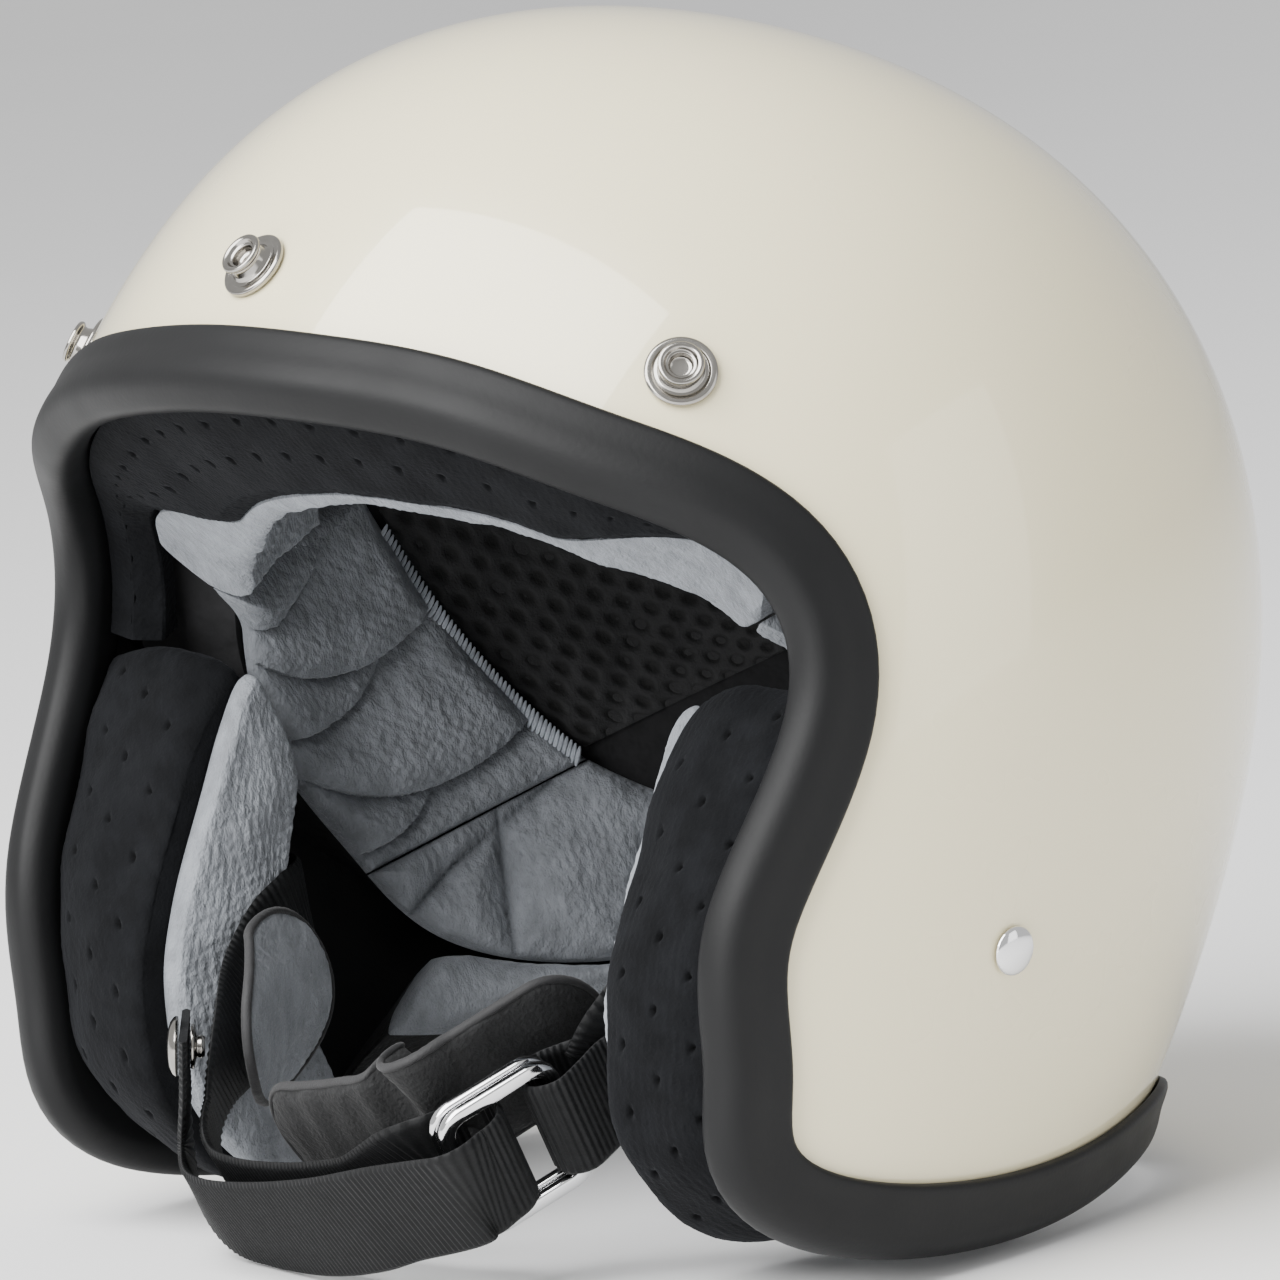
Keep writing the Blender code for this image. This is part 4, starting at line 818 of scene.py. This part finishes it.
def build_fasteners():
    for label, turn, rise in (("left", 49.8, 27.9), ("centre", 0.0, 32.5), ("right", -49.8, 27.9)):
        point, normal = seat(turn, rise)
        lift, inside = 0.0004, -(WALL + 0.0028)
        top = lift + 0.005
        profile = [(0, inside), (0.0023, inside), (0.0023, inside + 0.0004), (0.0018, inside + 0.0004),
                   (0.0018, lift), (0.0071, lift), (0.0071, lift + 0.0008), (0.0066, lift + 0.0012),
                   (0.0057, lift + 0.0012), (0.0053, lift + 0.00095), (0.0046, lift + 0.0011),
                   (0.0041, lift + 0.0018), (0.0037, top - 0.0020), (0.0038, top - 0.0014), (0.0044, top - 0.0010),
                   (0.00455, top - 0.0006), (0.0043, top - 0.0001), (0.0038, top), (0.0033, top - 0.0002),
                   (0.0029, top - 0.0009), (0.0024, top - 0.0010), (0.0022, top - 0.0026), (0.0016, top - 0.0029),
                   (0, top - 0.0029)]
        turned("Snap_stud_" + label, rounded(profile), point, normal, NICKEL, ("snap_stud_" + label,))
    for label, sign in (("left", 1), ("right", -1)):
        point, normal = seat(95.9 * sign, -11.8)
        head = -(0.0072 + 0.0015 + 0.0018)
        dome = [(0.0049 * math.cos(g), 0.0008 + 0.0016 * math.sin(g))
                for g in np.linspace(0, math.pi / 2, 12)[:-1]]
        profile = [(0, head - 0.0014), (0.0042, head - 0.0012), (0.0044, head), (0.002, head), (0.002, 0.0004),
                   (0.0046, 0.0004)] + dome + [(0, 0.0024)]
        turned("Rivet_" + label, profile, point, normal, CHROME, ("rivet_" + label,))


# ---------------------------------------------------------------- chin strap
WEB_WIDTH, WEB_WALL = 0.0245, 0.0016
RING_LENGTH, RING_BAR, RING_WALL, RING_GAP = 0.027, 0.0032, 0.0024, 0.0006
RING_CENTRE = np.array([0.0420, -0.0620, -0.0600])
ACROSS = unit(np.array([0.245, -0.52, 0.8175]))
ALONG = unit(np.array([0.387, 0.826, 0.41]) - ACROSS * (np.array([0.387, 0.826, 0.41]) @ ACROSS))
OUTWARD = np.cross(ALONG, ACROSS)
BAR_OFFSET = (RING_LENGTH - RING_BAR) / 2
RIGHT_BAR = RING_CENTRE + ALONG * BAR_OFFSET
UPRIGHT = (0.0, 0.0, 1.0)
EXIT_ROUTE = (
    (0.1105, -0.0060, -0.0275, *UPRIGHT), (0.1098, -0.0112, -0.0280, *UPRIGHT),
    (0.1050, -0.0146, -0.0285, *UPRIGHT), (0.0920, -0.0160, -0.0290, *UPRIGHT),
    (0.0770, -0.0175, -0.0290, *UPRIGHT), (0.0665, -0.0210, -0.0292, 0.02, -0.1, 0.99),
    (0.0615, -0.0275, -0.0305, 0.05, -0.25, 0.96),
)
RIGHT_ROUTE = (
    (-0.0600, -0.0350, -0.0345, 0.0, -0.5, 0.87), (-0.0570, -0.0440, -0.0420, 0.1, -0.75, 0.65),
    (-0.0525, -0.0560, -0.0520, 0.5, -0.75, 0.45), (-0.0500, -0.0635, -0.0640, 0.68, -0.65, 0.3),
    (-0.0420, -0.0665, -0.0730, 0.35, -0.62, 0.7), (-0.0290, -0.0690, -0.0755, 0.15, -0.58, 0.8),
    (-0.0100, -0.0715, -0.0752, 0.1, -0.53, 0.84), (0.0080, -0.0730, -0.0727, 0.15, -0.52, 0.84),
    (0.0182, -0.0728, -0.0690, 0.2, -0.52, 0.82),
)
TAIL_ROUTE = (
    (0.0220, -0.0785, -0.0725, 0.2, -0.5, 0.84), (0.0080, -0.0785, -0.0757, 0.13, -0.5, 0.86),
    (-0.0100, -0.0765, -0.0783, 0.1, -0.52, 0.85), (-0.0290, -0.0735, -0.0795, 0.15, -0.58, 0.8),
    (-0.0430, -0.0710, -0.0785, 0.35, -0.6, 0.72), (-0.0510, -0.0690, -0.0730, 0.6, -0.62, 0.5),
    (-0.0535, -0.0675, -0.0640, 0.72, -0.65, 0.2), (-0.0515, -0.0680, -0.0540, 0.76, -0.64, 0.1),
    (-0.0497, -0.0680, -0.0420, 0.76, -0.64, 0.1),
)


def in_ring(along, out, across=0.0):
    return RIGHT_BAR + ALONG * along + OUTWARD * out + ACROSS * across


def path_frames(route, count):
    samples = smooth_path(route, count)
    place, across = samples[:, :3], samples[:, 3:]
    along = unit(np.gradient(place, axis=0))
    across = unit(across - along * np.sum(across * along, axis=1, keepdims=True))
    return place, across, np.cross(along, across), along


def webbing(name, route, nodes, body, rib=0.00136):
    """Woven band with raised ribs across it and a plain selvedge down each edge."""
    rough, _, _, _ = path_frames(route, 200)
    length = np.linalg.norm(np.diff(rough, axis=0), axis=1).sum()
    count = int(length / rib * 8) + 1
    place, across, out, _ = path_frames(route, count)
    travel = np.linspace(0, length, count)
    side = np.concatenate([np.linspace(-1, 1, 25)])
    body_of_web = np.clip((1 - np.abs(side)) / 0.06, 0, 1)
    edge = np.sqrt(np.clip(1 - np.clip((np.abs(side) - 0.965) / 0.035, 0, 1) ** 2, 0.02, 1))
    wave = np.cos(travel / rib * 2 * math.pi)
    top = WEB_WALL / 2 * edge[None] * 0.86 + 0.00016 * wave[:, None] * body_of_web[None]
    rings = []
    for sign, order in ((1, slice(None)), (-1, slice(None, None, -1))):
        thick = (top if sign > 0 else top)[:, order] * sign
        rings.append(place[:, None] + across[:, None] * (WEB_WIDTH / 2 * side[order])[None, :, None]
                     + out[:, None] * thick[..., None])
    rings = np.concatenate(rings, 1)
    verts, faces = rings_mesh(rings + CENTRE)
    return piece(name, verts, faces, WEB, body, nodes, sharp=60)


def padded_band(name, route, width, wall, count, material, nodes, binding):
    """A stuffed flap: crowned section, rounded ends and a bound edge."""
    place, across, out, _ = path_frames(route, count)
    span = np.concatenate([[0.0], np.cumsum(np.linalg.norm(np.diff(place, axis=0), axis=1))])
    near = np.minimum(span, span[-1] - span)
    end = np.sqrt(np.clip(1 - (1 - np.clip(near / (width * 0.42), 0, 1)) ** 2, 0.0, 1))
    end = np.maximum(end, 0.12)
    g = np.arange(56) / 56 * 2 * math.pi
    a = np.sign(np.cos(g)) * np.abs(np.cos(g)) ** 0.55
    b = np.sign(np.sin(g)) * np.abs(np.sin(g)) ** 0.85
    rings = (place[:, None] + across[:, None] * (a[None] * end[:, None] * width / 2)[..., None]
             + out[:, None] * (b[None] * (0.35 + 0.65 * end[:, None]) * wall / 2)[..., None])
    swell = wobble(rings, 0.012, 0.00025) + wobble(rings, 0.002, 0.0001, 12)
    rings = rings + (out[:, None] * swell[..., None])
    verts, faces = rings_mesh(rings + CENTRE)
    piece(name, verts, faces, material, "chin_strap", nodes, sharp=60)
    rim_points = []
    for sign in (1, -1):
        line = place + across * (sign * end * width / 2)[:, None]
        rim_points.append(line if sign > 0 else line[::-1])
    loop = smooth_path(np.vstack(rim_points), 260, close=True)
    tangent = unit(np.roll(loop, -1, 0) - np.roll(loop, 1, 0))
    nearest = np.argmin(np.linalg.norm(loop[:, None] - place[None], axis=-1), axis=1)
    up = out[nearest]
    sideways = unit(np.cross(tangent, up))
    h = np.arange(12) / 12 * 2 * math.pi
    ring = (loop[:, None] + sideways[:, None] * (0.0008 * np.cos(h))[None, :, None]
            + up[:, None] * (0.0011 * np.sin(h))[None, :, None])
    ring = ring + sideways[:, None] * wobble(ring, 0.0012, 0.00004, 10)[..., None]
    verts, faces = rings_mesh(ring + CENTRE, wrap=True)
    piece(name + "_binding", verts, faces, binding, "chin_strap", sharp=60)


def build_ring(name, node, body, out_shift, along_shift):
    """Flat ring with rounded corners and softly bevelled bars."""
    corner, steps = 0.006, 14
    g = np.arange(20) / 20 * 2 * math.pi
    profile = np.column_stack([np.sign(np.cos(g)) * np.abs(np.cos(g)) ** 0.5 * RING_BAR / 2,
                               np.sign(np.sin(g)) * np.abs(np.sin(g)) ** 0.6 * RING_WALL / 2])
    rings = []
    for i, j, start in ((1, 1, 0), (-1, 1, 1), (-1, -1, 2), (1, -1, 3)):
        for k in range(steps):
            angle = (start + k / (steps - 1)) * math.pi / 2
            out = ALONG * math.cos(angle) + ACROSS * math.sin(angle)
            hub = (RING_CENTRE + ALONG * (i * (RING_LENGTH / 2 - corner) + along_shift)
                   + ACROSS * (j * ((WEB_WIDTH + 2 * RING_BAR + 0.002) / 2 - corner)) + OUTWARD * out_shift)
            middle = hub + out * (corner - RING_BAR / 2)
            rings.append([middle + out * a + OUTWARD * b for a, b in profile])
    verts, faces = rings_mesh(np.array(rings) + CENTRE, wrap=True)
    piece(name, verts, faces, CHROME, body, (node,), sharp=40)


def build_chin_strap():
    clear = RING_WALL + RING_GAP / 2 + 0.0022 + WEB_WALL / 2
    mirror = [(-r[0], r[1], r[2], -r[3], r[4], r[5]) for r in EXIT_ROUTE]
    through = [(*in_ring(along - 2 * BAR_OFFSET, out), *ACROSS)
               for along, out in ((-0.003, -clear - 0.0020), (0.002, -clear - 0.0004), (0.006, -clear))]
    webbing("Strap_long", mirror + list(RIGHT_ROUTE) + through, ("strap_long",), "chin_strap")
    fold = [(*in_ring(along - 2 * BAR_OFFSET, out), *ACROSS)
            for along, out in ((0.0098, -clear * 0.6), (0.0118, 0.0), (0.0105, clear * 0.7), (0.006, clear),
                               (-0.003, clear))]
    webbing("Strap_tail", fold + list(TAIL_ROUTE), ("strap_tail",), "tail")
    turn = RING_WALL + RING_GAP + WEB_WALL / 2 + 0.0012
    loop = [(*in_ring(along, out), *ACROSS)
            for along, out in ((0.012, -0.0014), (0.006, -0.0034), (0.0, -turn), (-0.0042, -turn * 0.62),
                               (-0.0054, 0.0), (-0.0042, turn * 0.62), (0.0, turn), (0.0055, 0.0036),
                               (0.011, 0.0017), (0.017, 0.0014))]
    exit_left = list(EXIT_ROUTE) + [(0.0588, -0.0350, -0.0350, 0.1, -0.4, 0.9),
                                    (0.0556, -0.0400, -0.0410, 0.2, -0.5, 0.85)]
    webbing("Strap_short", exit_left + loop, ("strap_short",), "chin_strap")
    tip = [(-0.0270, -0.0615, -0.0650, 0.1, -0.52, 0.84), (-0.0096, -0.0630, -0.0635, 0.12, -0.52, 0.84),
           (0.0080, -0.0635, -0.0605, 0.15, -0.52, 0.83), (0.0190, -0.0630, -0.0565, 0.2, -0.52, 0.82)]
    behind = [(*in_ring(along, -0.0132, 0.0055), *ACROSS)
              for along in (-BAR_OFFSET * 2 + 0.004, -BAR_OFFSET, 0.004, 0.018)]
    padded_band("Chin_flap", tip + behind, 0.030, 0.0045, 220, KNIT, ("chin_flap",),
                DARK_THREAD)
    leaf = ((-0.0545, -0.0330, -0.0270, 0.1, -0.5, 0.85), (-0.0510, -0.0400, -0.0375, 0.25, -0.75, 0.6),
            (-0.0465, -0.0500, -0.0480, 0.5, -0.72, 0.48), (-0.0435, -0.0560, -0.0580, 0.6, -0.65, 0.45))
    padded_band("Strap_sleeve", leaf, 0.033, 0.004, 140, BRUSHED, ("strap_sleeve",),
                DARK_THREAD)
    half_stack = (RING_WALL + RING_GAP) / 2
    build_ring("D_ring_outer", "d_ring_outer", "ring_outer", half_stack, 0.0)
    build_ring("D_ring_inner", "d_ring_inner", "ring_inner", -half_stack, -0.0006)
    a, b = np.array(TAIL_ROUTE[-2][:3]), np.array(TAIL_ROUTE[-1][:3])
    outward = unit(np.cross(unit(b - a), TAIL_ROUTE[-1][3:]))
    outward = outward * (1 if outward[0] < 0 else -1)
    lift = WEB_WALL / 2 + 0.0005
    cap = [(0, lift), (0.006, lift), (0.0061, lift + 0.0004), (0.0058, lift + 0.0009), (0.0048, lift + 0.0016),
           (0.0034, lift + 0.0020), (0.0018, lift + 0.00215), (0, lift + 0.0022)]
    post = [(0, -lift - 0.0028), (0.0019, -lift - 0.0028), (0.0024, -lift - 0.0022), (0.0022, -lift - 0.0012),
            (0.0045, -lift - 0.0007), (0.0045, -lift), (0, -lift)]
    spot = a * 0.35 + b * 0.65 + CENTRE
    turned("Tail_snap_cap", cap, spot, outward, NICKEL, ("tail_snap_cap",), "tail")
    turned("Tail_snap_stud", rounded(post), spot, outward, NICKEL, ("tail_snap_stud",), "tail")


# ---------------------------------------------------------------- studio
VIEW_RIGHT = Vector((0.6524, 0.7523, -0.0924))
VIEW_UP = Vector((-0.0414, 0.1571, 0.9867))
VIEW_BACK = Vector((0.7568, -0.6399, 0.1336))
MIDDLE = Vector((0.0, 0.0, 0.11))


def lamp(name, right, up, back, size, power, colour=(1, 1, 1)):
    """A rectangular soft light, placed in the camera's directions and aimed at the helmet."""
    data = bpy.data.lights.new(name, "AREA")
    data.shape = "RECTANGLE"
    data.size, data.size_y = size
    data.energy = power
    data.color = colour
    obj = bpy.data.objects.new(name, data)
    place = MIDDLE + VIEW_RIGHT * right + VIEW_UP * up + VIEW_BACK * back
    aim = (place - MIDDLE).to_track_quat("Z", "Y").to_matrix().to_4x4()
    obj.matrix_world = Matrix.Translation(place) @ aim
    bpy.context.collection.objects.link(obj)


def build_studio():
    data = bpy.data.cameras.new("Camera")
    data.sensor_width = 36.0
    data.lens = 325.5
    data.clip_end = 20.0
    camera = bpy.data.objects.new("Camera", data)
    turn = Matrix((VIEW_RIGHT, VIEW_UP, VIEW_BACK)).transposed().to_4x4()
    camera.matrix_world = Matrix.Translation(Vector(CENTRE) + Vector((1.7440, -1.4574, 0.3320))) @ turn
    bpy.context.collection.objects.link(camera)
    bpy.context.scene.camera = camera

    mesh = bpy.data.meshes.new("Floor")
    size = 30.0
    corners = [(-size, -size, 0), (size, -size, 0), (size, size, 0), (-size, size, 0)]
    mesh.from_pydata(corners, [], [(0, 1, 2, 3)])
    mesh.materials.append(surface("pale_floor", (0.86, 0.86, 0.86), 0.7, vary=0.01, vary_scale=3))
    floor = bpy.data.objects.new("Floor", mesh)
    bpy.context.collection.objects.link(floor)

    world = bpy.data.worlds.new("Studio")
    world.use_nodes = True
    world.node_tree.nodes["Background"].inputs["Color"].default_value = (1, 1, 1, 1)
    world.node_tree.nodes["Background"].inputs["Strength"].default_value = 0.72
    bpy.context.scene.world = world
    lamp("Key", -1.1, 1.1, 0.9, (1.8, 1.8), 105)
    lamp("Fill", 1.3, 0.15, 0.7, (0.7, 1.3), 5)
    lamp("Front", -0.9, -0.05, 1.2, (0.8, 1.0), 7)


build_shell()
build_trim()
build_lining()
build_edge_stitching()
build_brow_band()
build_neck_roll()
for side_name, side_sign in (("left", 1), ("right", -1)):
    build_cheek(side_name, side_sign)
build_fasteners()
build_chin_strap()
for node, material in {"cheek_backing_left": PLASTIC, "cheek_backing_right": PLASTIC, "strap_anchor_left": ZINC,
                       "strap_anchor_right": ZINC, "snap_washer_left": ZINC, "snap_washer_centre": ZINC,
                       "snap_washer_right": ZINC}.items():
    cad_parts[node].material_slots[0].material = material
build_studio()
